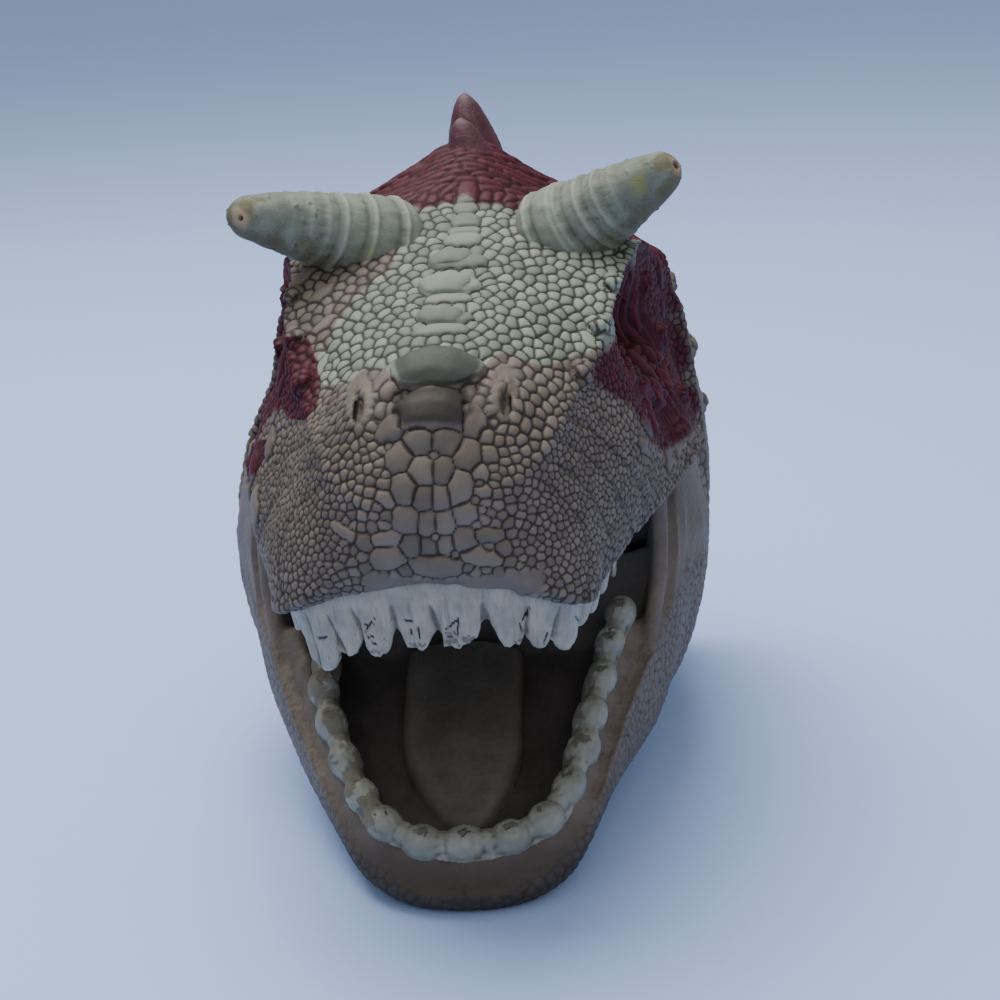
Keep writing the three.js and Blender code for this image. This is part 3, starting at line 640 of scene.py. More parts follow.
# Scales that fill a surface round those given: seeds a little apart, evened out, each as big as its room
def scatterScales(shape, open_, radius, lengthways, stretch, given, spacing=1.42, evened=2):
    where = np.flatnonzero(open_)
    points = shape.points[where]
    tree = treeOf(points)
    covered = np.zeros(len(where), bool)
    for middle, u, v in given:
        reach = max(np.linalg.norm(u), np.linalg.norm(v))
        for co, i, distance in tree.find_range(middle, reach * 1.5):
            away = np.array(co) - middle
            if abs(away @ u / (u @ u)) ** 3 + abs(away @ v / (v @ v)) ** 3 < 1.75:
                covered[i] = True
    free = ~covered
    seeds = []
    for i in dice.permutation(len(where)):
        if covered[i]:
            continue
        size = radius[where[i]]
        along = lengthways[where[i]]
        long = stretch[where[i]]
        for co, j, distance in tree.find_range(points[i], size * spacing * long):
            away = np.array(co) - points[i]
            ahead = float(away @ along)
            beside = max(0.0, distance * distance - ahead * ahead)
            if (ahead / long) ** 2 + beside < (size * spacing) ** 2:
                covered[j] = True
        seeds.append(i)
    room = points[free]
    for again in range(evened):
        near = treeOf(points[seeds])
        owner = np.array([near.find(p)[1] for p in room])
        count = np.maximum(np.bincount(owner, minlength=len(seeds)), 1)
        middles = np.stack([np.bincount(owner, room[:, k], len(seeds)) for k in range(3)], 1) / count[:, None]
        seeds = [tree.find(p)[1] for p in middles]
    used = where[seeds]
    size = 1.02 * np.sqrt(count * np.median(shape.spacing()) ** 2 / math.pi)
    size = np.clip(size, 0.6 * radius[used], 1.5 * radius[used])
    beside = np.cross(shape.normals()[used], lengthways[used])
    long = np.sqrt(stretch[used])
    return [(shape.points[i], a * s * l, b * s / l)
            for i, a, b, s, l in zip(used, lengthways[used], beside, size, long)]


# The scales nearest to a point, each once
def neighbours(tree, owners, p, wanted=6):
    found = list(dict.fromkeys(owners[mark[1]] for mark in tree.find_n(p, pebbles["marksRead"])))
    return (found + found[-1:] * wanted)[:wanted]


# How the scales lie on a surface: height in mm, how deep in a groove, and a tone of its own for each
def scaleField(shape, open_, scales, order=2.2):
    where = np.flatnonzero(open_)
    points = shape.points[where]
    middles, u, v = (np.array([s[k] for s in scales]) for k in range(3))
    halfU = np.linalg.norm(u, axis=1)
    halfV = np.linalg.norm(v, axis=1)
    facing = unit(np.cross(u, v))
    marks, owners = [], []
    for i, (middle, a, b) in enumerate(scales):
        marks.append(middle)
        owners.append(i)
        reach = max(halfU[i], halfV[i]) / mm
        rings = int(reach / pebbles["marks"]) if reach > pebbles["marksFrom"] else 0
        for ring in range(1, rings + 1):
            for turn in np.arange(6 * ring) * math.pi / (3 * ring):
                share = (ring - 0.1) / rings
                marks.append(middle + share * (math.cos(turn) * a + math.sin(turn) * b))
                owners.append(i)
    tree = treeOf(marks)
    near = np.array([neighbours(tree, owners, p) for p in points])
    away = points[:, None, :] - middles[near]
    alongU = np.abs((away * (u / halfU[:, None] ** 2)[near]).sum(2))
    alongV = np.abs((away * (v / halfV[:, None] ** 2)[near]).sum(2))
    lift = np.abs((away * facing[near]).sum(2)) / (halfU + halfV)[near]
    share = (alongU ** order + alongV ** order + (0.4 * lift) ** order) ** (1 / order)
    mean = np.sqrt(halfU * halfV)
    share += pebbles["firm"] * smooth(*pebbles["firmFrom"], mean / mm)[near] * np.maximum(share - 1, 0)
    length = np.linalg.norm(away, axis=2)
    rows = np.arange(len(points))
    first = share.argmin(1)
    best = near[rows, first]
    own = share[rows, first]
    others = np.where(near == best[:, None], np.inf, share)
    second = others.argmin(1)
    next_ = others[rows, second]
    reachOwn = (length[rows, first] + 0.3 * mean[best]) / (own + 0.3)
    reachNext = (length[rows, second] + 0.3 * mean[near[rows, second]]) / (share[rows, second] + 0.3)
    border = (next_ - own) * reachOwn * reachNext / (reachOwn + reachNext)
    border = np.where(np.isfinite(next_), border, 9 * mm) / mm
    narrow = pebbles["narrowMost"] * np.minimum(halfU, halfV)[best] / mm
    size = np.minimum(np.minimum(mean[best] / mm, narrow), pebbles["sizeMost"])
    edge = np.minimum(pebbles["edge"][0] + pebbles["edge"][1] * size, 0.62 * size)
    rounded = np.sqrt(1 - (1 - np.clip(border / edge, 0, 1)) ** 2)
    inside = 1 - smooth(*pebbles["reach"], own)
    dome = 1 - (np.minimum(own, pebbles["dome"]) / pebbles["dome"]) ** 2
    swell = pebbles["relief"] * size ** 0.7 * mix(rounded, dome, pebbles["domeShare"])
    grooveWidth = np.clip(pebbles["grooveShare"] * size, *pebbles["grooveWidth"])
    whole = np.zeros((3, len(shape.points)))
    whole[0, where] = inside * (swell + 0.3 * dome * np.maximum(mean[best] / mm - 3, 0))
    whole[1, where] = 1 - smooth(0, grooveWidth, border) * inside
    whole[2, where] = dice.random(len(scales))[best]
    return whole


def across(normals, direction):
    return unit(direction - normals * (normals * direction).sum(1, keepdims=True))


# Head
head = {
    "voxel": 0.38,  # mm
    "relax": 16,
    "seamRelax": 90,
    "seam": (20.0, 27.0),  # the head's skin runs on over the neck, and sinks into it from here to here
    "seamTop": 75.5,  # above this height, and below it the skin ends at lowerEnd
    "lowerEnd": 18.5,
    "innerVoxel": 1.7,
    "socketDepth": 3.0,
    "mound": 3.4,  # how high the ridge that carries the crest stands
    "moundMiddle": 1.5,
    "rearFlare": 1.4,  # the rear edge is drawn out and back by these, into the neck
    "rearReach": 5.0,
    # nostrils: pixel x and y, half width and half height in pixels
    "nostrils": [(361, 399, 10, 21), (504, 391, 10, 21)],
    "rimHeight": 0.55,
    "crease": 0.32,  # depth of the creases that run round the snout's flanks
    "creasePixels": 23.0,  # from one to the next
    "creaseMiddles": [(372, 566), (496, 562)],
}

# Where each paint lies, as outlines in the photograph's pixels
painted = {
    "cream": [
        (320, 386), (336, 388), (349, 386), (358, 379), (370, 372), (386, 372), (400, 384), (437, 388),
        (474, 378), (490, 361), (505, 357), (520, 363), (538, 371), (556, 367), (575, 359), (592, 351),
        (602, 347), (612, 345), (620, 328), (632, 303), (641, 278), (654, 262), (652, 238), (636, 222),
        (560, 205), (520, 200), (470, 188), (430, 204), (405, 222), (392, 268), (372, 284), (352, 304),
        (335, 332), (320, 362),
    ],
    "crimson": [
        (641, 278), (652, 264), (668, 266), (682, 290), (690, 330), (697, 365), (702, 400), (699, 418),
        (690, 437), (664, 452), (650, 442), (640, 424), (630, 408), (612, 398), (594, 386), (588, 372),
        (598, 354), (610, 346), (620, 328), (632, 303),
    ],
    "leftSocket": [
        (274, 372), (276, 350), (279, 322), (291, 307), (303, 320), (314, 348), (321, 374), (324, 392),
        (320, 408), (307, 422), (290, 419), (279, 398),
    ],
    "leftCheek": [(238, 476), (246, 452), (262, 440), (274, 440), (268, 460), (256, 478), (246, 494)],
    "smoothLip": [
        (366, 572), (400, 577), (440, 580), (480, 576), (542, 570), (542, 592), (440, 590), (366, 593),
    ],
    # These two outline painted shade on the snout's boss and its front scute
    "frontShade": [(396, 393), (466, 391), (472, 410), (462, 425), (402, 425), (392, 410)],
    "bossShade": [
        (395, 362), (402, 345), (437, 338), (472, 345), (480, 362), (470, 384), (437, 388), (404, 384),
    ],
}


# How far soft rubber gives way to one side, in mm
softLean = {"jaw": 2.6, "snout": 2.4, "neckLeft": 6.5, "headLeft": 2.0, "browLeft": 3.6, "neckRight": 3.0}


# The flanks are pressed in and out, as photographed
def pressed(points):
    x, y, z = (points / mm).T
    left = smooth(-30, -42, x)
    tuck = softLean["neckLeft"] * bell((y - 26) / 17, (z - 86) / 13) * left
    tuck += softLean["headLeft"] * bell((y + 8) / 12, (z - 88) / 9) * left
    tuck += softLean["browLeft"] * bell((y + 13) / 17, (z - 122) / 8) * smooth(-27, -36, x)
    tuck += softLean["neckRight"] * bell((y - 22) / 16, (z - 108) / 9) * smooth(28, 38, x)
    return np.stack([tuck, x * 0, x * 0], 1) * mm


# The soft jaw leans to the left
def leaned(points):
    x, y, z = (points / mm).T
    lean = -softLean["jaw"] * smooth(-66, -28, y) * (1 - smooth(24, 50, y)) * (1 - smooth(76, 102, z))
    return np.stack([lean, x * 0, x * 0], 1) * mm + pressed(points)


# The lower part of the snout leans to the left too, with the teeth and the palate
def swayed(points):
    x, y, z = (points / mm).T
    sway = -softLean["snout"] * (1 - smooth(-48, -14, y)) * (1 - smooth(74, 104, z))
    return np.stack([sway, x * 0, x * 0], 1) * mm


def headLean(points):
    press = pressed(points)
    rear = smooth(6, 18, points[:, 1] / mm)[:, None]
    return press + (leaned(points) - press) * rear + swayed(points)


# The ridge on the crown's rear and the neck, in mm
def ridge(points):
    x, y, z = (points / mm).T
    along = smooth(-4, 13, y) * (1 - smooth(34, 52, y))
    return head["mound"] * bell((x - head["moundMiddle"]) / 9.5) * along * smooth(100, 112, z)


def headFields(p, n):
    x, y, z = (p / mm).T
    side = np.abs(x)
    up = n[:, 2]
    crown = smooth(0.3, 0.6, up) * smooth(-78, -73, y)
    rear = smooth(-1, 6, y) * smooth(104, 116, z)
    snout = 1 - smooth(-60, -38, y)
    size = mix(pebbles["snoutNear"], pebbles["snoutFar"], smooth(9, 25, side))
    size = mix(pebbles["rearHead"], size, np.maximum(snout, 0.35))
    low = 1 - smooth(70, 80, z - 0.165 * (y + 62))
    size = mix(size, pebbles["lip"], low * snout)
    leftFront = smooth(8, 18, -x) * (1 - smooth(-66, -52, y))
    crownSize = pebbles["crown"] - 0.3 * smooth(16, 26, side) * snout - 0.55 * leftFront
    size = mix(size, crownSize, crown)
    size = mix(size, pebbles["rear"], rear)
    size = mix(size, 1.2, smooth(17, 24, y) * (1 - rear))
    stretch = mix(1.15, 1.5, low * smooth(9, 20, side) * snout)
    stretch = mix(stretch, 1.3 + 0.6 * leftFront, crown)
    stretch = mix(stretch, 3.2, rear)
    level = np.array([1.0, 0.0, 0.0]) * np.sign(x + 1e-6)[:, None] * snout[:, None]
    level = level + np.array([0.0, 1.0, 0.35]) * (1 - snout)[:, None]
    level = mix(level, np.array([0.0, 1.0, 0.3]), crown[:, None])
    level = mix(level, np.array([1.0, 0.6, 0.0]), leftFront[:, None])
    level = mix(level, np.array([1.0, 0.0, 0.0]), rear[:, None])
    socket = bell((y + 15) / 14, (z - 103) / 16) * smooth(22, 29, side) * (1 - smooth(0.3, 0.55, up))
    return {
        "size": size, "stretch": stretch, "along": across(n, level), "crown": crown,
        "socket": np.clip(1.5 * socket, 0, 1),
    }


# The photograph shows the right side's paint, and the left side has the same where it is out of sight
def headPaint(p, n, socket):
    x, y, z = (p / mm).T
    side = np.abs(x)
    seenX, seenY = projected(p)
    mirrorX, mirrorY = projected(p * [-1, 1, 1])
    rightX, rightY = (np.where(x > 0, a, b) for a, b in ((seenX, mirrorX), (seenY, mirrorY)))
    front = smooth(8, 2, y)
    cream = within(seenX, seenY, painted["cream"], 5) * smooth(-0.12, 0.12, n[:, 2]) * front
    cream *= 1 - 0.3 * smooth(-12, 0, y)
    crimson = within(rightX, rightY, painted["crimson"], 12) * smooth(20, 27, side)
    crimson = np.maximum(crimson, within(seenX, seenY, painted["leftSocket"], 3) * smooth(20, 24, -x))
    crimson = np.maximum(crimson, within(seenX, seenY, painted["leftCheek"], 4) * smooth(30, 36, -x))
    uneven = 3 * cloud(p, 6, seed=1)
    behind = smooth(-5, 1, y + 0.12 * side + uneven) * smooth(96, 110, z + 2 * uneven)
    crimson *= 1 - smooth(0.5, 0.75, n[:, 2]) * smooth(110, 114, z)
    crimson *= 1 - smooth(13, 27, y + 2 * uneven)
    crimson = np.maximum(np.maximum(crimson, smooth(0.3, 0.7, socket)), behind)
    # Painted shade on the snout's boss and its front scute
    boss = within(seenX, seenY, painted["bossShade"], 3) + within(seenX, seenY, painted["frontShade"], 3)
    boss *= y < -60
    return cream, crimson, boss


# The nostrils' smooth rims, the creases round the snout's flanks and the plain band over the lip
def snoutFields(p):
    y = p[:, 1] / mm
    x, down = projected(p)
    front = 1 - smooth(-62, -52, y)
    rim = np.zeros(len(x))
    for cx, cy, wide, high in head["nostrils"]:
        away = np.hypot((x - cx) / wide, (down - cy) / high)
        rim = np.maximum(rim, bell((away - 0.85) / 0.42))
    crease = np.zeros(len(x))
    for (cx, cy), side in zip(head["creaseMiddles"], (-1, 1)):
        away = np.hypot(x - cx, down - cy) / head["creasePixels"]
        nearest = np.abs(away - np.round(away)) * head["creasePixels"]
        beyond = smooth(20, 60, side * (x - cx)) * smooth(3.2, 3.9, away) * (1 - smooth(7.2, 8.2, away))
        crease = np.maximum(crease, bell(nearest / 2.6) * beyond)
    plain = within(x, down, painted["smoothLip"], 4) * front
    return rim * front, crease * (1 - smooth(-40, -26, y)), plain


# The line inside the head that its surfaces face towards or away from
def heart(points):
    return np.stack([points[:, 0] * 0, np.maximum(points[:, 1], -0.064), points[:, 0] * 0 + 0.084], 1)


def measure(label, shape):
    print(label, len(shape.points), "points", len(shape.faces), "faces")


def headShell():
    grow = 0.35 * mm
    skin = cadShape("head_skin", grow)
    x, y, z = (skin.points / mm).T
    rearEdge = (y > 13) & (np.linalg.norm(skin.points - heart(skin.points), axis=1) > 22 * mm)
    outward = unit((skin.points - heart(skin.points)) * [1, 0, 1])
    skin.points[rearEdge] += outward[rearEdge] * head["rearFlare"] * mm
    skin.points[rearEdge, 1] += head["rearReach"] * mm
    solid = joined(skin, cadShape("neck_sleeve", grow))
    solid.points += headLean(solid.points)
    shape = remeshed(solid, head["voxel"] * mm)
    x, y, z = (shape.points / mm).T
    shape = shape.kept((y < head["lowerEnd"]) | ((z > head["seamTop"]) & (y < head["seam"][1])))[0]
    shape.points -= shape.normals() * grow
    shape.relax(head["relax"])
    x, y, z = (shape.points / mm).T
    shape.relax(head["seamRelax"], 0.0, bell((y - 17.5) / 4.5) * (z < 118) * (np.abs(x) > 30))
    n = shape.normals()
    outward = ((shape.points - heart(shape.points)) * n).sum(1) > 0
    shape, used = shape.kept(shape.spread(outward, 8))
    outward = outward[used]
    measure("head outside", shape)
    return shape, outward


# The inside of the head's wall, which only the opening for the hand shows
def headInside():
    skin = cadShape("head_skin")
    skin.points += headLean(skin.points)
    shape = remeshed(skin, head["innerVoxel"] * mm)
    inward = ((shape.points - heart(shape.points)) * shape.normals()).sum(1) < 0
    shape = shape.kept(inward & (shape.points[:, 2] > 72 * mm))[0]
    shape.relax(4)
    n = shape.normals()
    socket = headFields(shape.points, -n)["socket"]
    return shape.push((head["socketDepth"] + 1.5) * shape.blurred(socket, 6) - 0.4, n)


def dressedHead():
    shape, outward = headShell()
    skin = surfaceOf(shape)
    n = shape.normals()
    f = headFields(shape.points, n)
    given = [laidScute(skin, *s) for group in scutes.values() for s in group]
    given = [g for g in given if g]
    print("scutes laid", len(given))
    scales = given + scatterScales(shape, outward, f["size"] * mm, f["along"], f["stretch"], given)
    print("scales", len(scales))
    height, groove, tone = scaleField(shape, outward, scales)
    y, z = shape.points[:, 1] / mm, shape.points[:, 2] / mm
    open_ = shape.blurred(outward.astype(float), 3) * outward
    flat = 1 - f["socket"]
    wander = 2.2 * cloud(shape.points, 9, seed=12)
    folds = np.sin(2 * math.pi * (y + 0.12 * z + wander) / 2.4)
    first, last = head["seam"]
    dive = -1.3 * smooth(first, last, y)
    rim, crease, plain = snoutFields(shape.points)
    flat *= 1 - np.maximum(plain, rim)
    rise = height * flat + 0.5 * folds * f["socket"] - head["socketDepth"] * f["socket"] + dive
    rise += head["rimHeight"] * rim - head["crease"] * crease * (1 - f["crown"]) + 0.3 * plain
    tone = mix(tone, 0.5, np.maximum(plain, rim))
    cream, crimson, boss = headPaint(shape.points, n, f["socket"])
    lift = ridge(shape.points)
    shape.push(rise * open_, n)
    shape.points[:, 2] += lift * open_ * mm
    # The socket's fold valleys and the snout's creases join the grooves, which the skin darkens with dirt and
    # painted shade
    groove = np.maximum(groove * flat, smooth(0.2, -0.9, folds) * f["socket"])
    groove = np.maximum(groove, 0.55 * crease * (1 - f["crown"]))
    masks = {
        "groove": groove * open_, "tone": tone, "cream": cream * open_, "crimson": crimson * open_,
        "lining": (1 - open_) * (1 - plain), "grain": 0.15 * open_, "boss": boss * open_,
    }
    return shape, masks, scales


headShape, headMasks, headScales = dressedHead()
inside = headInside()
inner = np.zeros(len(inside.points))
headMasks = {name: np.concatenate([values, inner + (name == "lining")]) for name, values in headMasks.items()}
headPiece = addPiece("headSkin", [headShape, inside], skinRubber, headMasks)
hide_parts("head_skin")
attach(headPiece, "head")
print("head skin made")


# Jaw and neck: one skin
jawNeck = {
    "voxel": 0.62,
    "relax": 30,
    "reach": 3.0,  # the jaw's rear edge is drawn this far into the neck
    "bendStart": (0, 0.040, 0.0433),
    "bendEnd": (0, -0.004, 0.0229),
    "tuck": 0.8,  # the right half of the lower teeth lies further in by this much towards its rear
    "grain": 0.8,  # height of the jaw's scales as a share of the neck's
    "gumGrow": 0.6,
    "gumOut": 1.3,
    "gumDrop": 3.0,
    # the inside of the cheek: its outer front line from the gum up to the hinge, x, y, z in mm
    "cheekFront": [
        (36.5, -24, 30), (38.5, -20, 36), (41, -15.5, 43), (42.6, -11.5, 50), (43, -9.5, 58), (43, -9, 66),
        (43, -8, 78), (41.5, -4, 86),
    ],
    "cheekBack": (-4.0, 24.0),  # from there to its inner rear line, x and y
    "cheekHalf": 2.3,
    "corner": (46.4, 16.4, 75.4),
    "cornerHalf": (3.0, 6.2, 5.2),
}


def tucked(shape):
    x, y = (shape.points / mm).T[:2]
    shape.points += leaned(shape.points)
    shape.points[:, 0] -= jawNeck["tuck"] * smooth(-56, -16, y) * smooth(8, 20, x) * mm
    return shape


def jawNeckShell():
    grow = 0.5 * mm
    jaw = cadShape("jaw_skin", grow)
    y, z = (jaw.points / mm).T[1:]
    rearEdge = y > 17
    jaw.points[rearEdge, 1] = (18.4 + 0.085 * np.clip(78 - z[rearEdge], 0, 78) + jawNeck["reach"]) * mm
    parts = [quadded(part) for part in (jaw, cadShape("neck_sleeve", grow), cadShape("neck_cuff", grow))]
    parts += [cheekShape(1), cheekShape(-1), cornerShape(1), cornerShape(-1)]
    for part in parts:
        part.points += leaned(part.points)
    solid = joined(*parts, gumShape())
    shape = remeshed(solid, jawNeck["voxel"] * mm)
    shape.points -= shape.normals() * grow
    shape.relax(jawNeck["relax"])
    y, z = (shape.points / mm).T[1:]
    for where in (bell((y - 19) / 5) * (z < 85), bell((z - 7) / 6) * (1 - smooth(-56, -46, y))):
        shape.relax(60, 0.0, where)
    measure("jaw and neck", shape)
    return shape


# The inside of a cheek: a soft wall from the jaw's front edge back into the mouth
def cheekShape(side):
    front = np.array(jawNeck["cheekFront"], float)
    rows = np.linspace(0, len(front) - 1, 22)
    line = np.stack([np.interp(rows, np.arange(len(front)), front[:, k]) for k in range(3)], 1)
    turns = np.linspace(-math.pi / 2, math.pi / 2, 9)
    backX, backY = jawNeck["cheekBack"]
    ahead = -unit(np.array([backX, backY]))
    beside = np.array([-ahead[1], ahead[0]])
    rings = []
    for x, y, z in line:
        ring = []
        for end, turn in ((0, turns), (1, turns + math.pi)):
            half = jawNeck["cheekHalf"] * (1 - 0.35 * end)
            middle = np.array([x + backX * end, y + backY * end])
            for a in turn:
                place = middle + (ahead * math.cos(a) + beside * math.sin(a)) * half
                ring.append((place[0] * side, place[1], z))
        rings.append(np.array(ring[::side]) * mm)
    return lofted(rings)


# The soft fold that fills the corner between jaw, neck and head
def cornerShape(side):
    middle = np.array(jawNeck["corner"]) * [side, 1, 1] * mm
    fold = ball(middle, mm)
    fold.points = middle + (fold.points - middle) * jawNeck["cornerHalf"]
    return fold


# The gum that fills the room between the jaw's wall and the lower teeth
def gumShape():
    strip = tucked(quadded(cadShape("lower_tooth_strip", jawNeck["gumGrow"] * mm)))
    away = strip.points * [1, 1, 0] - np.array([0, -20, 0]) * mm
    away[:, 0] *= 1.6
    strip.points += unit(away) * jawNeck["gumOut"] * mm
    strip.points[:, 2] -= jawNeck["gumDrop"] * mm
    return strip


def dressedJawNeck():
    shape = jawNeckShell()
    n = shape.normals()
    x, y, z = (shape.points / mm).T
    neckShare = smooth(4, 20, y)
    top = smooth(95, 112, z)
    rim = 11 + 0.665 * (np.minimum(y, -2) + 60)
    axis = np.stack([x * 0, y, np.where(y > 18, 60, rim + 8)], 1) * mm
    inward = shape.blurred((((shape.points - axis) * n).sum(1) < 0).astype(float), 4)
    under = smooth(1.5, 5, rim - z) + smooth(8, 17, y)
    lining = np.clip(inward * under, 0, 1)
    outward = np.where(lining > 0.5, 0.0, 1.0)
    size = mix(mix(1.15, 1.4, neckShare), 1.05, top)
    stretch = mix(1.15, 3.0, top)
    along = across(n, np.array([0.0, 1.0, -0.3]) + top[:, None] * np.array([1.0, -1.0, 0.3]))
    given = [s for s in headScales if s[0][1] > 17 * mm]
    open_ = (outward > 0.5) & (lining < 0.2)
    scales = given + scatterScales(shape, open_, size * mm, along, stretch, given)
    height, groove, tone = scaleField(shape, open_, scales)
    dive = -0.9 * (1 - smooth(20, 26, y)) * smooth(80, 86, z)
    turned = smooth(-0.2, 0.1, ((shape.points - axis) * n).sum(1) / mm)
    jawShare = jawNeck["grain"] * smooth(-4, 2, rim - z) * turned
    cover = outward * np.maximum(neckShare, jawShare)
    lift = ridge(shape.points) * outward
    shape.push((height * cover * mix(0.7, 1.0, top) + dive) * outward, n)
    shape.points[:, 2] += lift * mm
    shape.points[:, 2] = np.maximum(shape.points[:, 2], 0.0001)
    uneven = cloud(shape.points, 9, seed=1)
    crimson = smooth(-5, 5, z - 104 + 14 * uneven + 7 * smooth(26, 19, y)) * neckShare
    flank = bell((z - 92) / 9, (y - 17) / 7) * smooth(34, 42, np.abs(x))
    crimson = np.maximum(crimson, flank * (0.5 + uneven))
    tone = mix(0.5, tone, np.maximum(neckShare, 0.2))
    # Painted shade under the chin, carried by the boss mask
    chinShade = 0.8 * smooth(20, 6, z) * (1 - smooth(-50, -30, y)) * outward
    return shape, {
        "groove": groove * cover * 0.8, "tone": tone, "cream": 0 * z, "crimson": crimson * outward,
        "lining": lining, "grain": (1 - lining) * (1 - 0.6 * neckShare), "boss": chinShade,
    }


jawShape, jawMasks = dressedJawNeck()
jawPiece = addPiece("jawAndNeckSkin", [jawShape], skinRubber, jawMasks)
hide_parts("jaw_skin", "neck_sleeve", "neck_cuff")
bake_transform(jawPiece)
print("jaw and neck skin made")


# Horns
hornSet = {
    "radii": (9.7, 9.3, 8.3, 7.1, 5.5, 3.4),  # mm, evenly spaced from root to tip
    "stations": 230,
    "sides": 112,
    "rootRound": 0.13,
    "tipRound": 0.085,
    "hatch": 0.13,
    "rootGrowth": 1.0,  # mm
    # rims: share of the length from the root, and height in mm. Vent and stain are pixels.
    "left_horn": {
        "base": (-10.5, -6.3, 121.2), "bend": (-23, -15.4, 127.9), "tip": (-43.2, -28.3, 135.1),
        "rims": [(0.165, 0.55), (0.325, 0.55), (0.465, 0.45), (0.55, 0.2), (0.63, 0.18), (0.72, 0.1)],
        "vent": (240, 218), "ventRadius": 0.55, "stain": (372, 262),
    },
    "right_horn": {
        "base": (17.2, -6.4, 121.3), "bend": (29.5, -12, 129.3), "tip": (46.6, -19.5, 139.9),
        "rims": [
            (0.0, 0.3), (0.14, 0.45), (0.29, 0.3), (0.325, 0.5), (0.45, 0.42), (0.56, 0.34), (0.66, 0.14),
        ],
        "vent": (677, 165), "ventRadius": 0.85, "stain": (638, 182),
    },
}


def hornLine(base, bend, tip, t):
    base, bend, tip = (np.array(p) * mm for p in (base, bend, tip))
    middle = np.linalg.norm(bend - base) / (np.linalg.norm(bend - base) + np.linalg.norm(tip - bend))
    at = t[:, None]
    return (
        base * (at - middle) * (at - 1) / middle
        + bend * at * (at - 1) / (middle * (middle - 1))
        + tip * at * (at - middle) / (1 - middle)
    )


def hornShape(own):
    count, sides = hornSet["stations"], hornSet["sides"]
    t = 1 - (1 - np.linspace(0, 1, count)) ** 1.15
    line = hornLine(own["base"], own["bend"], own["tip"], t)
    ahead = unit(np.gradient(line, axis=0))
    beside = unit(np.cross(ahead, np.array([0, 0, 1.0])))
    over = np.cross(beside, ahead)
    length = np.linalg.norm(line[-1] - line[0]) / mm
    radius = np.interp(t, np.linspace(0, 1, len(hornSet["radii"])), hornSet["radii"])
    radius += hornSet["rootGrowth"] * (1 - smooth(0.15, 0.5, t))
    rise = np.zeros(count)
    for place, height in own["rims"]:
        away = (t - place) * length
        rise += height * np.exp(-(away / 0.62) ** 2) - 0.55 * height * np.exp(-((away - 1.3) / 0.7) ** 2)
        rise += 0.35 * height * np.exp(-((away + 2.2) / 2.0) ** 2)
    root = np.clip(t / hornSet["rootRound"], 0, 1)
    tip = np.clip((1 - t) / hornSet["tipRound"], 0, 1)
    radius = radius * np.sqrt(1 - (1 - root) ** 2 * 0.86) * np.sqrt(1 - (1 - tip) ** 2 * 0.97)
    angle = np.arange(sides) * 2 * math.pi / sides
    reach = (radius + rise * tip * np.clip(root * 2, 0, 1)) * mm
    around = np.cos(angle)[None, :, None] * beside[:, None] + np.sin(angle)[None, :, None] * over[:, None]
    rings = line[:, None] + around * reach[:, None, None]
    shape = lofted(list(rings))
    along = np.append(np.repeat(t, sides), [0, 1])
    turn = np.append(np.tile(angle, count), [0, 0])
    underside = np.append((around * np.array([0, 0, -1.0])).sum(2).ravel(), [0, 0])
    ringed = np.append(np.repeat(rise, sides), [0, 0])
    return shape, along, turn, underside, ringed, length


def dressedHorn(name):
    own = hornSet[name]
    shape, along, turn, underside, ringed, length = hornShape(own)
    ground = np.stack([np.cos(turn) * 8, np.sin(turn) * 8, along * length / 4.5], 1) * mm
    lines = cloud(ground, 0.62) * smooth(0.02, 0.12, along) * (1 - smooth(0.62, 0.8, along))
    pits = smooth(0.42, 0.75, cloud(shape.points, 1.5, seed=3)) * smooth(0.35, 0.6, along)
    rough = cloud(shape.points, 2.6, seed=5)
    shape.push(lines * hornSet["hatch"] + rough * 0.16 - pits * 0.3)
    vent = seen(surfaceOf(shape), *own["vent"])
    stain = seen(surfaceOf(shape), *own["stain"])
    stain = vent if stain is None else stain
    away = np.linalg.norm(shape.points - vent, axis=1) / mm
    hole = 1 - smooth(own["ventRadius"] * 0.75, own["ventRadius"] * 1.1, away)
    shape.points += (np.array(own["bend"]) * mm - shape.points) * (hole * 0.07)[:, None]
    worn = (1 - smooth(0.9, 2.6, away + rough)) * (1 - hole)
    soil = smooth(-0.1, 0.9, underside + rough * 0.4) * (0.45 + 0.55 * smooth(0.15, 0.75, along))
    # The trough behind each rim is darkened with dirt and painted shadow
    soil = np.maximum(soil, smooth(0.12, 0.3, -ringed) * 0.5) + pits * 0.7
    soil = np.maximum(soil, smooth(0.8, 1.0, along + 0.2 * rough) * 0.85)
    stained = bell(np.linalg.norm(shape.points - stain, axis=1) / (4.5 * mm)) * (0.6 + rough)
    return shape, {
        "soil": soil, "hole": hole, "worn": worn, "stained": np.clip(stained, 0, 1), "lines": lines,
        "rim": np.clip(ringed * 2.2, 0, 1), "low": smooth(0.2, 0.9, underside),
    }


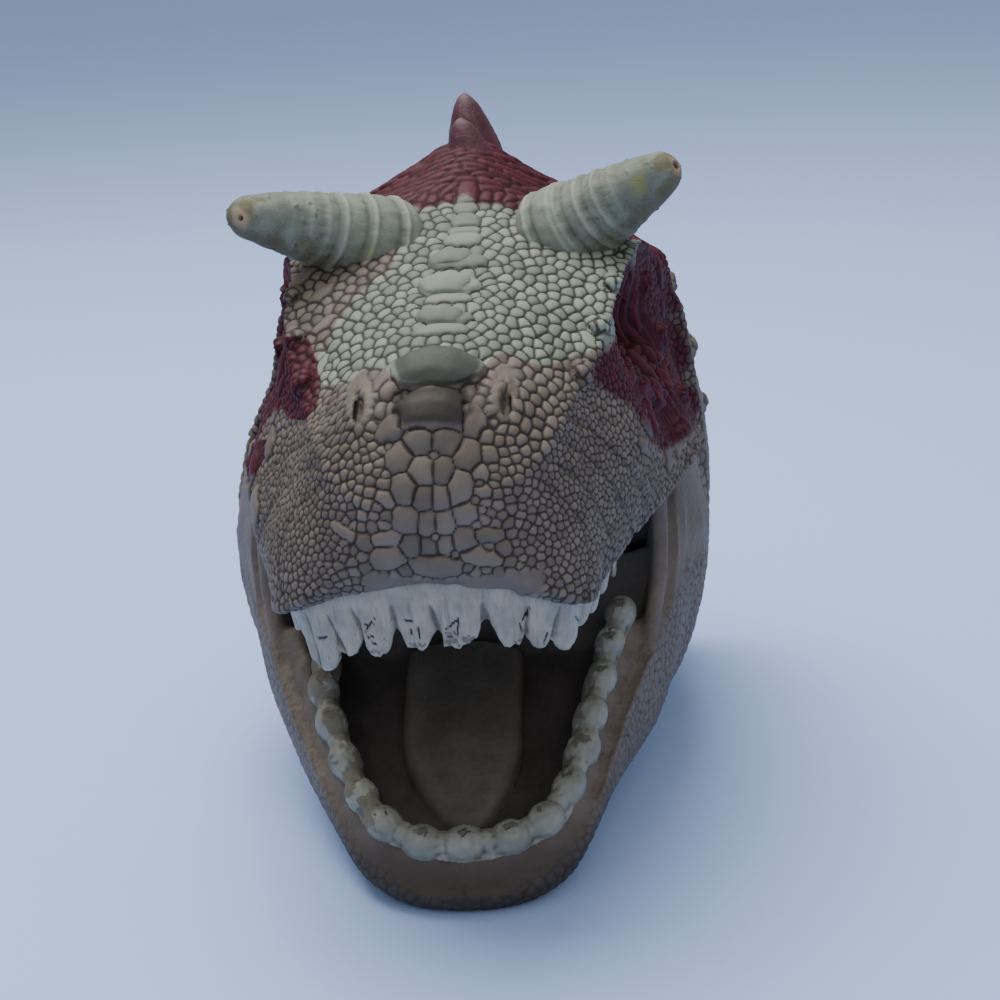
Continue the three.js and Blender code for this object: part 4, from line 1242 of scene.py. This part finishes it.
def hornMaterial():
    material, w = newMaterial("paintedHorn")
    cloudy = w.noise(5, 4)
    fine = w.noise(0.5, 3, 0.65)
    base = w.blend(cloudy.step(0.3, 0.75), colour(98, 105, 94), colour(122, 129, 117))
    base = w.blend(w.mask("lines").step(0.05, 0.45) * 0.4, base, colour(78, 83, 73))
    # Painted highlight: the rims are paler
    base = w.blend(w.mask("rim") * 0.6, base, colour(152, 159, 148))
    # Painted shade: the underside is darker
    base = w.blend(w.mask("low") * 0.45, base, colour(90, 87, 80))
    dirt = (w.mask("soil") + (fine - 0.5) * 1.5).step(0.15, 1.0)
    base = w.blend(dirt * 0.85, base, w.blend(cloudy, colour(72, 66, 42), colour(112, 103, 74)))
    base = w.blend((w.mask("stained") + fine - 0.5).step(0.25, 0.8) * 0.6, base, colour(128, 128, 72))
    base = w.blend(w.mask("worn") * 0.85, base, colour(160, 138, 112))
    # The vent's inside painted near-black: painted shade of the hole
    base = w.blend(w.mask("hole"), base, colour(22, 16, 14))
    plug(w, fine + cloudy * 0.5, 0.5, 0.25, Base_Color=base, Roughness=0.6 + dirt * 0.15,
         Specular_IOR_Level=0.35)
    return material


hornPaint = hornMaterial()
for name in ("left_horn", "right_horn"):
    shape, masks = dressedHorn(name)
    piece = addPiece(name.replace("_h", "H"), [shape], hornPaint, masks)
    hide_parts(name)
    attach(piece, "head")
print("horns made")


# Upper teeth: a strip that hangs behind the lip. Its lower edge, the teeth's sides and the cracks are
# placed by the photograph's pixels.
upperTeeth = {
    "edge": [
        (288, 604), (290, 615), (295, 629), (299, 638), (303, 649.5), (307, 658.7), (311, 661),
        (314.4, 666.8), (319, 670.8), (324.8, 671), (330.5, 668), (335, 660), (338.5, 652),
        (340.8, 655.3), (347.7, 656.4), (353.5, 653.6), (358, 646), (360.4, 639), (363.8, 647.3),
        (368.4, 654), (374, 657), (378, 657.6), (380, 654.7), (385.6, 654), (389, 649.6), (390.8, 642.7),
        (392.4, 634), (396, 629.5), (400.5, 633.5), (404, 642.7), (407.4, 647.8), (413, 648.4),
        (417.8, 649.6), (421.8, 651), (425.8, 647.8), (429.3, 640.4), (433.8, 633.5), (439, 631),
        (441.9, 635.8), (443.6, 645), (444.8, 647.8), (450, 646.5), (452.8, 648.6), (460.4, 648.6),
        (462, 645), (469.3, 643.5), (477.6, 637), (479.5, 630), (483.4, 623), (487.8, 620), (491, 622.5),
        (496, 631.4), (501, 640.4), (506.3, 647), (512.7, 647.4), (516.5, 643.5), (523, 644.8),
        (524.8, 640.4), (527.4, 631), (531.8, 639), (537, 645.5), (542, 648), (548.4, 647.4),
        (552.9, 641.6), (556, 633), (560, 640.4), (565, 646.7), (570, 649), (575.2, 648), (579.7, 641.6),
        (582.9, 634), (585.4, 625), (589.2, 623.8), (593, 617.4), (596, 607), (603, 588),
    ],
    # where two teeth meet, at the lip and at the notch
    "sides": [
        (288, 288), (296, 300), (307, 311), (327, 338.5), (351, 360.4), (391, 396), (429, 439),
        (483, 487.8), (529, 527.4), (561, 556), (587, 585.4), (603, 603),
    ],
    "cracks": [
        [(315.6, 636.3), (320, 638.6), (326.5, 637.5)], [(364.4, 624.9), (368.4, 626), (374, 625.4)],
        [(365, 632), (369.6, 624.3), (375.9, 617.4)], [(405, 621.4), (412, 621.4)],
        [(417.8, 627.7), (419.5, 640)], [(411, 631), (412.5, 636)], [(445, 630), (459, 618.5)],
        [(458, 618.5), (458, 634.6)], [(520.4, 623.8), (521.6, 631.4), (526.7, 629.5)],
        [(529, 608), (523, 621)], [(576, 617), (579, 621)], [(446, 636), (452, 638)],
        [(548, 633), (545, 642)], [(367, 638), (373, 637)], [(371, 642), (376, 645)],
    ],
    "broken": [(376, 652, 8), (418, 648, 9), (452, 643, 10), (468, 640, 10), (521, 640, 7), (450, 634, 6)],
    "pitch": 6.3,  # mm, where the photograph shows none
    "step": 0.3,
    "rows": 26,
    "gum": 3.0,  # the strip goes on above the lip by this much
    "thick": 3.4,
    "tip": 1.5,
    "crown": 1.35,
    "level": 68.5,
    "shown": (289, 597),  # the photograph shows the teeth between these pixels
    "shownFront": -57.0,
}


def toothColumns():
    solid = cadShape("upper_tooth_strip")
    solid.points += swayed(solid.points)
    strip = surfaceOf(solid)
    middle = Vector((0, -42.2, upperTeeth["level"])) * mm
    outer, inner = [], []
    for angle in np.linspace(0, math.pi, 700):
        way = Vector((-math.cos(angle), -math.sin(angle), 0))
        near = strip.ray_cast(middle, way)[0]
        far = strip.ray_cast(middle + way * 0.09, -way)[0]
        if near and far:
            outer.append(far)
            inner.append(near)
    outer, inner = np.array(outer), np.array(inner)
    run = np.append(0, np.cumsum(np.linalg.norm(np.diff(outer, axis=0), axis=1))) / mm
    at = np.arange(0, run[-1], upperTeeth["step"])
    outer = np.stack([np.interp(at, run, outer[:, k]) for k in range(3)], 1)
    inner = np.stack([np.interp(at, run, inner[:, k]) for k in range(3)], 1)
    top = []
    for p in mix(outer, inner, 0.4):
        hit = strip.ray_cast(Vector((p[0], p[1], 0.1)), Vector((0, 0, -1)))[0]
        top.append(hit[2] if hit else np.nan)
    top = np.array(top)
    known = np.isfinite(top)
    return at, outer, inner, np.interp(at, at[known], top[known])


def upperStrip():
    at, outer, inner, top = toothColumns()
    lip = top - upperTeeth["gum"] * mm
    edgeX, edgeY = np.array(upperTeeth["edge"]).T
    drop = np.full(len(at), 8 * mm)
    for again in range(12):
        x, y = projected(np.stack([outer[:, 0], outer[:, 1], lip - drop], 1))
        drop += (np.interp(x, edgeX, edgeY) - y) * 0.2 * mm
    x, y = projected(np.stack([outer[:, 0], outer[:, 1], lip - 2 * mm], 1))
    left, right = upperTeeth["shown"]
    shown = np.flatnonzero((x > left) & (x < right) & (outer[:, 1] < upperTeeth["shownFront"] * mm))
    first, last = shown.min(), shown.max()
    atLip, atNotch = np.array(upperTeeth["sides"]).T
    shares = [np.interp(x, line, np.arange(len(line))) for line in (atLip, atNotch)]
    before = (at[first] - at) / upperTeeth["pitch"]
    after = (at - at[last]) / upperTeeth["pitch"]
    hidden = np.where(at < at[first], before, after)
    round_ = 1 - np.abs(2 * (hidden % 1) - 1) ** 2.4
    made = (4.4 + 5.2 * np.maximum(round_, 0) ** 0.6 - 0.8 * hidden) * mm
    visible = (at >= at[first]) & (at <= at[last])
    drop = np.where(visible, np.clip(drop, 2.5 * mm, 15 * mm), made)
    drop += cloud(np.stack([at, at * 0, at * 0], 1) * mm, 0.55) * 0.12 * mm
    rows = upperTeeth["rows"]
    out = unit(np.stack([-np.gradient(outer[:, 1]), np.gradient(outer[:, 0]), at * 0], 1))
    out *= np.sign((out * (outer - inner)).sum(1, keepdims=True))
    rings, depth, column, face = [], [], [], []
    for i in range(len(at)):
        share = np.linspace(0, 1, rows) ** 0.85
        length = upperTeeth["gum"] * mm + drop[i]
        z = top[i] + 1.5 * mm * (1 - share) ** 3 - share * length
        low = np.clip((lip[i] - z) / (9 * mm), 0, 1)
        phase = mix(shares[0][i], shares[1][i], low) if visible[i] else np.full(rows, hidden[i])
        u = 2 * (phase % 1) - 1
        crown = upperTeeth["crown"] * (np.sqrt(np.maximum(0, 1 - u ** 6)) - 0.9) * smooth(-0.1, 0.4, low)
        thick = mix(upperTeeth["thick"], upperTeeth["tip"], smooth(0.35, 1.0, share))
        curl = 0.9 * share ** 3
        ahead = crown - curl - 0.25 + 0.8 * (1 - smooth(0.1, 0.7, share))
        front = outer[i] * [1, 1, 0] + out[i] * (ahead * mm)[:, None] + np.outer(z, [0, 0, 1])
        back = front - out[i] * (thick * mm)[:, None]
        half = thick[-1] / 2 * mm
        turns = np.linspace(0, math.pi, 7)[1:-1]
        under = (front[-1] + back[-1]) / 2 + out[i] * (np.cos(turns) * half)[:, None]
        under -= np.outer(np.sin(turns), [0, 0, half * 0.8])
        rings.append(np.concatenate([front, under, back[::-1]]))
        depth += [*share, *([1.0] * len(turns)), *share[::-1]]
        column += [at[i]] * (2 * rows + len(turns))
        face += [1.0] * rows + [0.6] * len(turns) + [0.0] * rows
    shape = lofted(rings)
    return shape, *(np.append(v, [0, 0]) for v in (depth, column, face))


def dressedUpperTeeth():
    shape, depth, column, face = upperStrip()
    x, y = projected(shape.points)
    crack = np.zeros(len(x))
    wobble = cloud(shape.points, 0.8, seed=9) * 0.6
    for line in upperTeeth["cracks"]:
        for first, last in zip(line, line[1:]):
            crack = np.maximum(crack, 1 - smooth(0.5, 1.3, segmentDistance(x, y + wobble, first, last)))
    broken = np.zeros(len(x))
    for cx, cy, size in upperTeeth["broken"]:
        broken = np.maximum(broken, bell((x - cx) / size, (y - cy) / (size * 0.5)))
    chip = cloud(shape.points, 0.7, seed=2)
    ground = np.stack([column, column * 0, shape.points[:, 2] / mm / 7], 1) * mm
    streak = cloud(ground, 0.42)
    broad = cloud(ground, 1.5, seed=4)
    worn = smooth(0.35, 0.9, broken + chip * 0.9) * smooth(0.5, 0.8, depth)
    rise = streak * 0.07 + broad * 0.16 - 0.3 * crack - worn * (0.25 + 0.4 * chip)
    shape.push(rise * face)
    return shape, {
        "crack": crack * face, "chipped": worn, "streak": streak, "broad": broad,
        # Painted shade in the hollows and seams between teeth
        "hollow": np.clip(-proud(shape, 10) * 8, 0, 1),
    }


def toothMaterial():
    material, w = newMaterial("paintedTooth")
    cloudy = w.noise(4, 4)
    fine = w.noise(0.45, 3, 0.7)
    base = w.blend(cloudy.step(0.3, 0.75), colour(136, 132, 120), colour(158, 154, 140))
    base = w.blend(w.mask("streak").step(0.0, 0.6) * 0.35, base, colour(96, 101, 98))
    base = w.blend(w.mask("broad").step(0.1, 0.6) * 0.25, base, colour(108, 116, 118))
    # Painted shade in the hollows and seams between teeth
    base = w.blend(w.mask("hollow") * 0.65, base, colour(60, 58, 52))
    dirt = (w.mask("chipped") + (fine - 0.5) * 0.6).step(0.25, 0.8)
    base = w.blend(dirt * 0.75, base, w.blend(fine, colour(84, 80, 76), colour(128, 122, 114)))
    base = w.blend(fine.step(0.66, 0.74) * 0.6, base, colour(60, 60, 58))
    base = w.blend(w.mask("crack").step(0.35, 0.8), base, colour(20, 20, 22))
    plug(w, fine + w.mask("streak") * 0.5, depth=0.2, Base_Color=base,
         Roughness=0.42 + dirt * 0.25 + cloudy * 0.1, Specular_IOR_Level=0.42)
    return material


toothPaint = toothMaterial()
shape, masks = dressedUpperTeeth()
upperPiece = addPiece("upperTeeth", [shape], toothPaint, masks)
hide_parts("upper_tooth_strip")
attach(upperPiece, "head")
print("upper teeth made")


# Lower teeth: rounded knobs on one strip. Pixel x, pixel y and radius in mm.
lowerTeeth = {
    "knobs": [
        (305, 662, 3.2), (323.8, 690, 3.5), (331.6, 724, 3.5), (345.6, 762, 3.5), (362, 796, 3.5),
        (384, 824, 3.7), (423, 843, 3.8), (465, 844, 3.9), (511, 838, 3.8), (545.6, 820, 3.7),
        (569, 787, 3.4), (584.7, 749, 3.3), (592.5, 715, 3.2), (602, 677.5, 3.2), (609.7, 643, 3.2),
        (620.6, 613.4, 3.5),
    ],
    "voxel": 0.32,
    "grow": 0.1,  # mm
    "sink": 0.5,  # share of a knob's radius that its middle lies behind the strip's surface
    "between": 0.66,  # size of the swelling between two knobs, as a share of theirs
    "leftRearTuck": 3.6,  # mm
}


def toothStrip(grow):
    strip = tucked(cadShape("lower_tooth_strip", grow))
    x, y = (strip.points / mm).T[:2]
    strip.points[:, 0] += lowerTeeth["leftRearTuck"] * smooth(-34, -20, y) * smooth(-20, -26, x) * mm
    return strip


def dressedLowerTeeth():
    strip = surfaceOf(toothStrip(0))
    places = []
    for x, y, radius in lowerTeeth["knobs"]:
        hit = seen(strip, x, y)
        if hit is None:
            continue
        way = pixelRay(x, y)[1]
        places.append((hit + np.array(way) * radius * lowerTeeth["sink"] * mm, radius * mm))
    base = quadded(toothStrip(lowerTeeth["grow"] * mm))
    balls = []
    for i, (p, r) in enumerate(places):
        before, after = (places[k][0] for k in (max(i - 1, 0), min(i + 1, len(places) - 1)))
        length = np.linalg.norm(after - before) / (4 if 0 < i < len(places) - 1 else 2)
        along = unit(after - before)
        knob = ball(p, r)
        away = (knob.points - p) @ along
        knob.points += np.outer(away * (np.clip(1.03 * length / r, 1, 1.7) - 1), along)
        balls.append(knob)
    for (p, r), (q, s) in zip(places, places[1:]):
        balls.append(ball((p + q) / 2, (r + s) / 2 * lowerTeeth["between"]))
    shape = remeshed(joined(base, *balls), lowerTeeth["voxel"] * mm)
    shape.relax(5, -0.2)
    tops = treeOf([p + np.array([0, -0.35, 0.94]) * r for p, r in places])
    toTop = np.array([tops.find(p)[2] for p in shape.points]) / mm
    rough = cloud(shape.points, 1.1, seed=6)
    broad = cloud(shape.points, 4.5, seed=8)
    worn = (1 - smooth(0.8, 1.9, toTop + rough * 1.2)) * smooth(-0.25, 0.2, broad + 0.1)
    n = shape.normals()
    x = shape.points[:, 0] / mm
    inside = smooth(0.0, 0.6, -n[:, 0] * np.sign(x) * smooth(12, 22, np.abs(x)))
    shape.push(rough * 0.14 + broad * 0.12 - worn * (0.25 + 0.3 * rough), n)
    soil = inside * smooth(-0.35, 0.25, broad + rough * 0.4)
    leftSide = smooth(-12, -22, shape.points[:, 0] / mm)
    soil = np.maximum(soil, leftSide * smooth(-0.5, 0.1, broad + rough * 0.5))
    measure("lower teeth", shape)
    return shape, {
        # Painted shade between the knobs
        "worn": worn, "soil": soil, "hollow": np.clip(-proud(shape, 12) * 6, 0, 1),
        "rim": smooth(0.3, 0.5, worn) * (1 - smooth(0.6, 0.85, worn)),
    }


def knobMaterial():
    material, w = newMaterial("paintedLowerTooth")
    cloudy = w.noise(5, 4)
    fine = w.noise(0.5, 3, 0.7)
    base = w.blend(cloudy.step(0.3, 0.75), colour(114, 116, 107), colour(142, 142, 131))
    # Painted shade between the knobs
    base = w.blend(w.mask("hollow") * 0.9, base, colour(44, 41, 35))
    dirt = (w.mask("soil") + (fine - 0.5) * 0.8).step(0.25, 0.8)
    base = w.blend(dirt * 0.7, base, w.blend(cloudy, colour(56, 50, 36), colour(104, 96, 76)))
    base = w.blend((w.mask("worn") + fine * 0.4 - 0.2).step(0.35, 0.75) * 0.75, base, colour(84, 83, 80))
    base = w.blend((w.mask("rim") + fine - 0.5).step(0.5, 0.9) * 0.7, base, colour(38, 36, 34))
    base = w.blend(fine.step(0.68, 0.76) * 0.5, base, colour(50, 48, 44))
    plug(w, fine + cloudy * 0.6, Base_Color=base, Roughness=0.4 + dirt * 0.2 + cloudy * 0.1,
         Specular_IOR_Level=0.45)
    return material


shape, masks = dressedLowerTeeth()
lowerPiece = addPiece("lowerTeeth", [shape], knobMaterial(), masks)
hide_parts("lower_tooth_strip")
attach(lowerPiece, "jaw")
print("lower teeth made")


# The inside of the mouth
def softMaterial(name, dark, pale, roughness, grain=1.4):
    material, w = newMaterial(name)
    cloudy = w.noise(12, 4)
    fine = w.noise(grain, 4, 0.6)
    base = w.blend((cloudy * 0.75 + fine * 0.25).step(0.3, 0.72), dark, pale)
    base = w.blend(w.noise(0.6, 2, 0.7).step(0.66, 0.76) * 0.25, base, dark)
    plug(w, fine + cloudy, 0.35, Base_Color=base, Roughness=roughness + cloudy * 0.14,
         Specular_IOR_Level=0.4)
    return material


mouthRubber = softMaterial("mouthRubber", colour(50, 45, 43), colour(70, 64, 61), 0.46)
tongueRubber = softMaterial("tongueRubber", colour(70, 66, 61), colour(93, 88, 81), 0.4)


mouth = {
    "voxel": 0.7,  # mm
    "ridge": (0.35, 5.2, 0.012),  # the palate's ridges: height and distance in mm, and how they bow
    "bedForward": 2,  # mm, as below
    "wallBack": 7,
    "wallDown": 9,
    "tongueVoxel": 0.55,
    "tongueBack": 3.2,
    "tongueNarrower": 0.24,
}


def mouthPieces():
    roof = softened("palate_lining", mouth["voxel"], 10)
    y = roof.points[:, 1] / mm
    side = np.abs(roof.points[:, 0]) / mm
    height, apart, bow = mouth["ridge"]
    ridges = np.sin(2 * math.pi * (y + bow * side ** 2) / apart) * height * (1 - smooth(22, 32, side))
    roof.push(ridges * smooth(0.2, 0.7, -roof.normals()[:, 2]))
    roof.points += swayed(roof.points)
    bed = softened("mouth_floor", mouth["voxel"], 14)
    bed.points[:, 1] -= mouth["bedForward"] * mm * smooth(-18, -4, bed.points[:, 1] / mm)
    back = softened("throat_wall", mouth["voxel"], 8)
    low = smooth(69, 54, back.points[:, 2] / mm)
    back.points[:, 1] += mouth["wallBack"] * mm * low
    back.points[:, 2] -= mouth["wallDown"] * mm * low
    tongue = softened("tongue", mouth["tongueVoxel"], 24)
    ahead = 1 - smooth(-60, -34, tongue.points[:, 1] / mm)
    tongue.points[:, 0] *= 1 - mouth["tongueNarrower"] * ahead
    tongue.points[:, 1] += mouth["tongueBack"] * mm * ahead
    for soft in (bed, tongue):
        soft.points += leaned(soft.points)
    made = (
        ("palateLining", roof, mouthRubber, "mouth_lining", "palate_lining", "head"),
        ("mouthFloor", bed, mouthRubber, "mouth_lining", "mouth_floor", "jaw"),
        ("throatWall", back, mouthRubber, "mouth_lining", "throat_wall", "head"),
        ("tongue", tongue, tongueRubber, "tongue", "tongue", "jaw"),
    )
    for name, shape, material, slot, node, body in made:
        piece = addPiece(name, [shape], material)
        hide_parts(node)
        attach(piece, body)


mouthPieces()
print("mouth made")


# Crest: flat-sided blades with paler edges
crest = {"voxel": 0.4, "relax": 10, "leftLean": 2.6, "nodes": [f"crest_spine_{k}" for k in range(1, 5)]}


def crestMaterial():
    material, w = newMaterial("crestRubber")
    cloudy = w.noise(6, 4)
    fine = w.noise(0.6, 3, 0.65)
    base = w.blend((cloudy * 0.8 + fine * 0.2).step(0.3, 0.75), colour(62, 24, 37), colour(80, 37, 51))
    base = w.blend(w.mask("proud").step(0.25, 0.9) * 0.55, base, colour(106, 72, 82))
    base = w.blend((w.mask("tipped") + (fine - 0.5) * 0.6).step(0.35, 0.8) * 0.6, base, colour(98, 76, 82))
    # Painted shade in the blades' hollows
    base = w.blend(w.mask("hollow") * 0.8, base, rubber["crimsonDark"])
    plug(w, fine + cloudy, Base_Color=base, Roughness=0.5 + cloudy * 0.15, Specular_IOR_Level=0.38)
    return material


crestRubber = crestMaterial()
for k, node in enumerate(crest["nodes"]):
    shape = softened(node, crest["voxel"], crest["relax"])
    top, bottom = shape.points[:, 2].max(), shape.points[:, 2].min()
    share = (shape.points[:, 2] - bottom) / (top - bottom)
    shape.push(np.sin(share * 9 + cloud(shape.points, 5) * 1.5) * 0.1 + cloud(shape.points, 1.6) * 0.08)
    if k < 2:
        shape.points[:, 0] += crest["leftLean"] * (1 - share) * mm
    edges = proud(shape, 14)
    masks = {
        # Painted shade in the blades' hollows
        "proud": np.clip(edges * 4, 0, 1), "hollow": np.clip(-edges * 5, 0, 1),
        "tipped": smooth(0.75, 1.0, share),
    }
    piece = addPiece(f"crestSpine{k + 1}", [shape], crestRubber, masks)
    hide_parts(node)
    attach(piece, "head")
print("crest made")


# Eyes
eyeSet = {
    "radius": 5.15,  # mm
    "dome": 3.1,
    "back": 1.2,
    "turnedForward": 5,  # degrees
    "rings": 26,
    "sides": 64,
    "slit": (0.16, 0.56),  # half width and half height as shares of the radius
}


def eyeMaterial():
    material, w = newMaterial("glossyEye")
    base = w.blend(w.mask("spoke").step(-0.2, 0.5), colour(58, 36, 16), colour(34, 20, 10))
    base = w.blend(w.mask("fromMiddle").step(0.5, 0.66), base, colour(34, 20, 14))
    base = w.blend(w.mask("slit"), base, colour(8, 7, 7))
    plug(w, Base_Color=base, Roughness=0.12 + w.noise(1.2) * 0.08, Coat_Weight=0.25)
    return material


def dressedEye(node, side):
    low, high = (np.array(corner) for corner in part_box(node))
    ahead = math.radians(eyeSet["turnedForward"])
    out = np.array([side * math.cos(ahead), -math.sin(ahead), 0])
    level = np.cross([0, 0, 1.0], out)
    count, sides = eyeSet["rings"], eyeSet["sides"]
    turn = np.arange(sides) * 2 * math.pi / sides
    rings, share = [], []
    for k in range(count):
        a = math.pi / 2 * k / (count - 1)
        r = eyeSet["radius"] * math.cos(a) if k < count - 1 else 0.02
        ring = np.outer(np.cos(turn) * r, level) + np.outer(np.sin(turn) * r, [0, 0, 1])
        rings.append((ring + out * eyeSet["dome"] * math.sin(a)) * mm)
        share += [r / eyeSet["radius"]] * sides
    shape = lofted([rings[0] - out * eyeSet["back"] * mm, *rings])
    shape.points += (low + high) / 2 - out * (eyeSet["dome"] - eyeSet["back"]) / 2 * mm
    share = np.array([1.0] * sides + share + [1, 0])
    turned = np.concatenate([np.zeros(sides), np.tile(turn, count), [0, 0]])
    wide, high = eyeSet["slit"]
    over, up = np.cos(turned), np.sin(turned)
    return shape, {
        "fromMiddle": share,
        "slit": 1 - smooth(0.8, 1.1, np.hypot(share * over / wide, share * up / high)),
        "spoke": cloud(np.stack([over * 4, up * 4, share], 1) * mm, 0.7),
    }


eyeGloss = eyeMaterial()
for side, node in ((-1, "left_eye"), (1, "right_eye")):
    shape, masks = dressedEye(node, side)
    piece = addPiece(f"{node[:-4]}Eye", [shape], eyeGloss, masks)
    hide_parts(node)
    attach(piece, "head")
print("eyes made")


# Floor and lights
stageSet = {
    "floorHalf": 7.0,  # m
    "floor": colour(176, 203, 254),
    "air": (0.92, 0.95, 1.0, 1),
    "airStrength": 0.5,
    "aim": (0, 0, 0.07),
    # name: place, width, power and tint
    "lamps": {
        "topSoft": ((-0.2, 0.2, 1.05), 0.9, 15, (1, 0.98, 0.95)),
        "frontFill": ((0.3, -1.0, 0.75), 0.8, 2.6, (1, 0.96, 0.9)),
    },
}


def addStage():
    mesh = bpy.data.meshes.new("floor")
    half = stageSet["floorHalf"]
    corners = [(x * half, y * half, 0) for x, y in ((-1, -1), (1, -1), (1, 1), (-1, 1))]
    mesh.from_pydata(corners, [], [(0, 1, 2, 3)])
    floor = bpy.data.objects.new("floor", mesh)
    bpy.context.scene.collection.objects.link(floor)
    material, w = newMaterial("paleFloor")
    plug(w, Base_Color=stageSet["floor"], Roughness=0.9)
    mesh.materials.append(material)
    world = bpy.data.worlds.new("studio")
    world.use_nodes = True
    background = world.node_tree.nodes["Background"]
    background.inputs["Color"].default_value = stageSet["air"]
    background.inputs["Strength"].default_value = stageSet["airStrength"]
    bpy.context.scene.world = world


def addLight(name, place, size, power, tint):
    data = bpy.data.lights.new(name, "AREA")
    data.shape = "DISK"
    data.size = size
    data.energy = power
    data.color = tint
    lamp = bpy.data.objects.new(name, data)
    lamp.location = place
    aim = Vector(stageSet["aim"]) - Vector(place)
    lamp.rotation_mode = "QUATERNION"
    lamp.rotation_quaternion = aim.to_track_quat("-Z", "Y")
    bpy.context.scene.collection.objects.link(lamp)


addStage()
for name, lamp in stageSet["lamps"].items():
    addLight(name, *lamp)
print("stage and lights set")
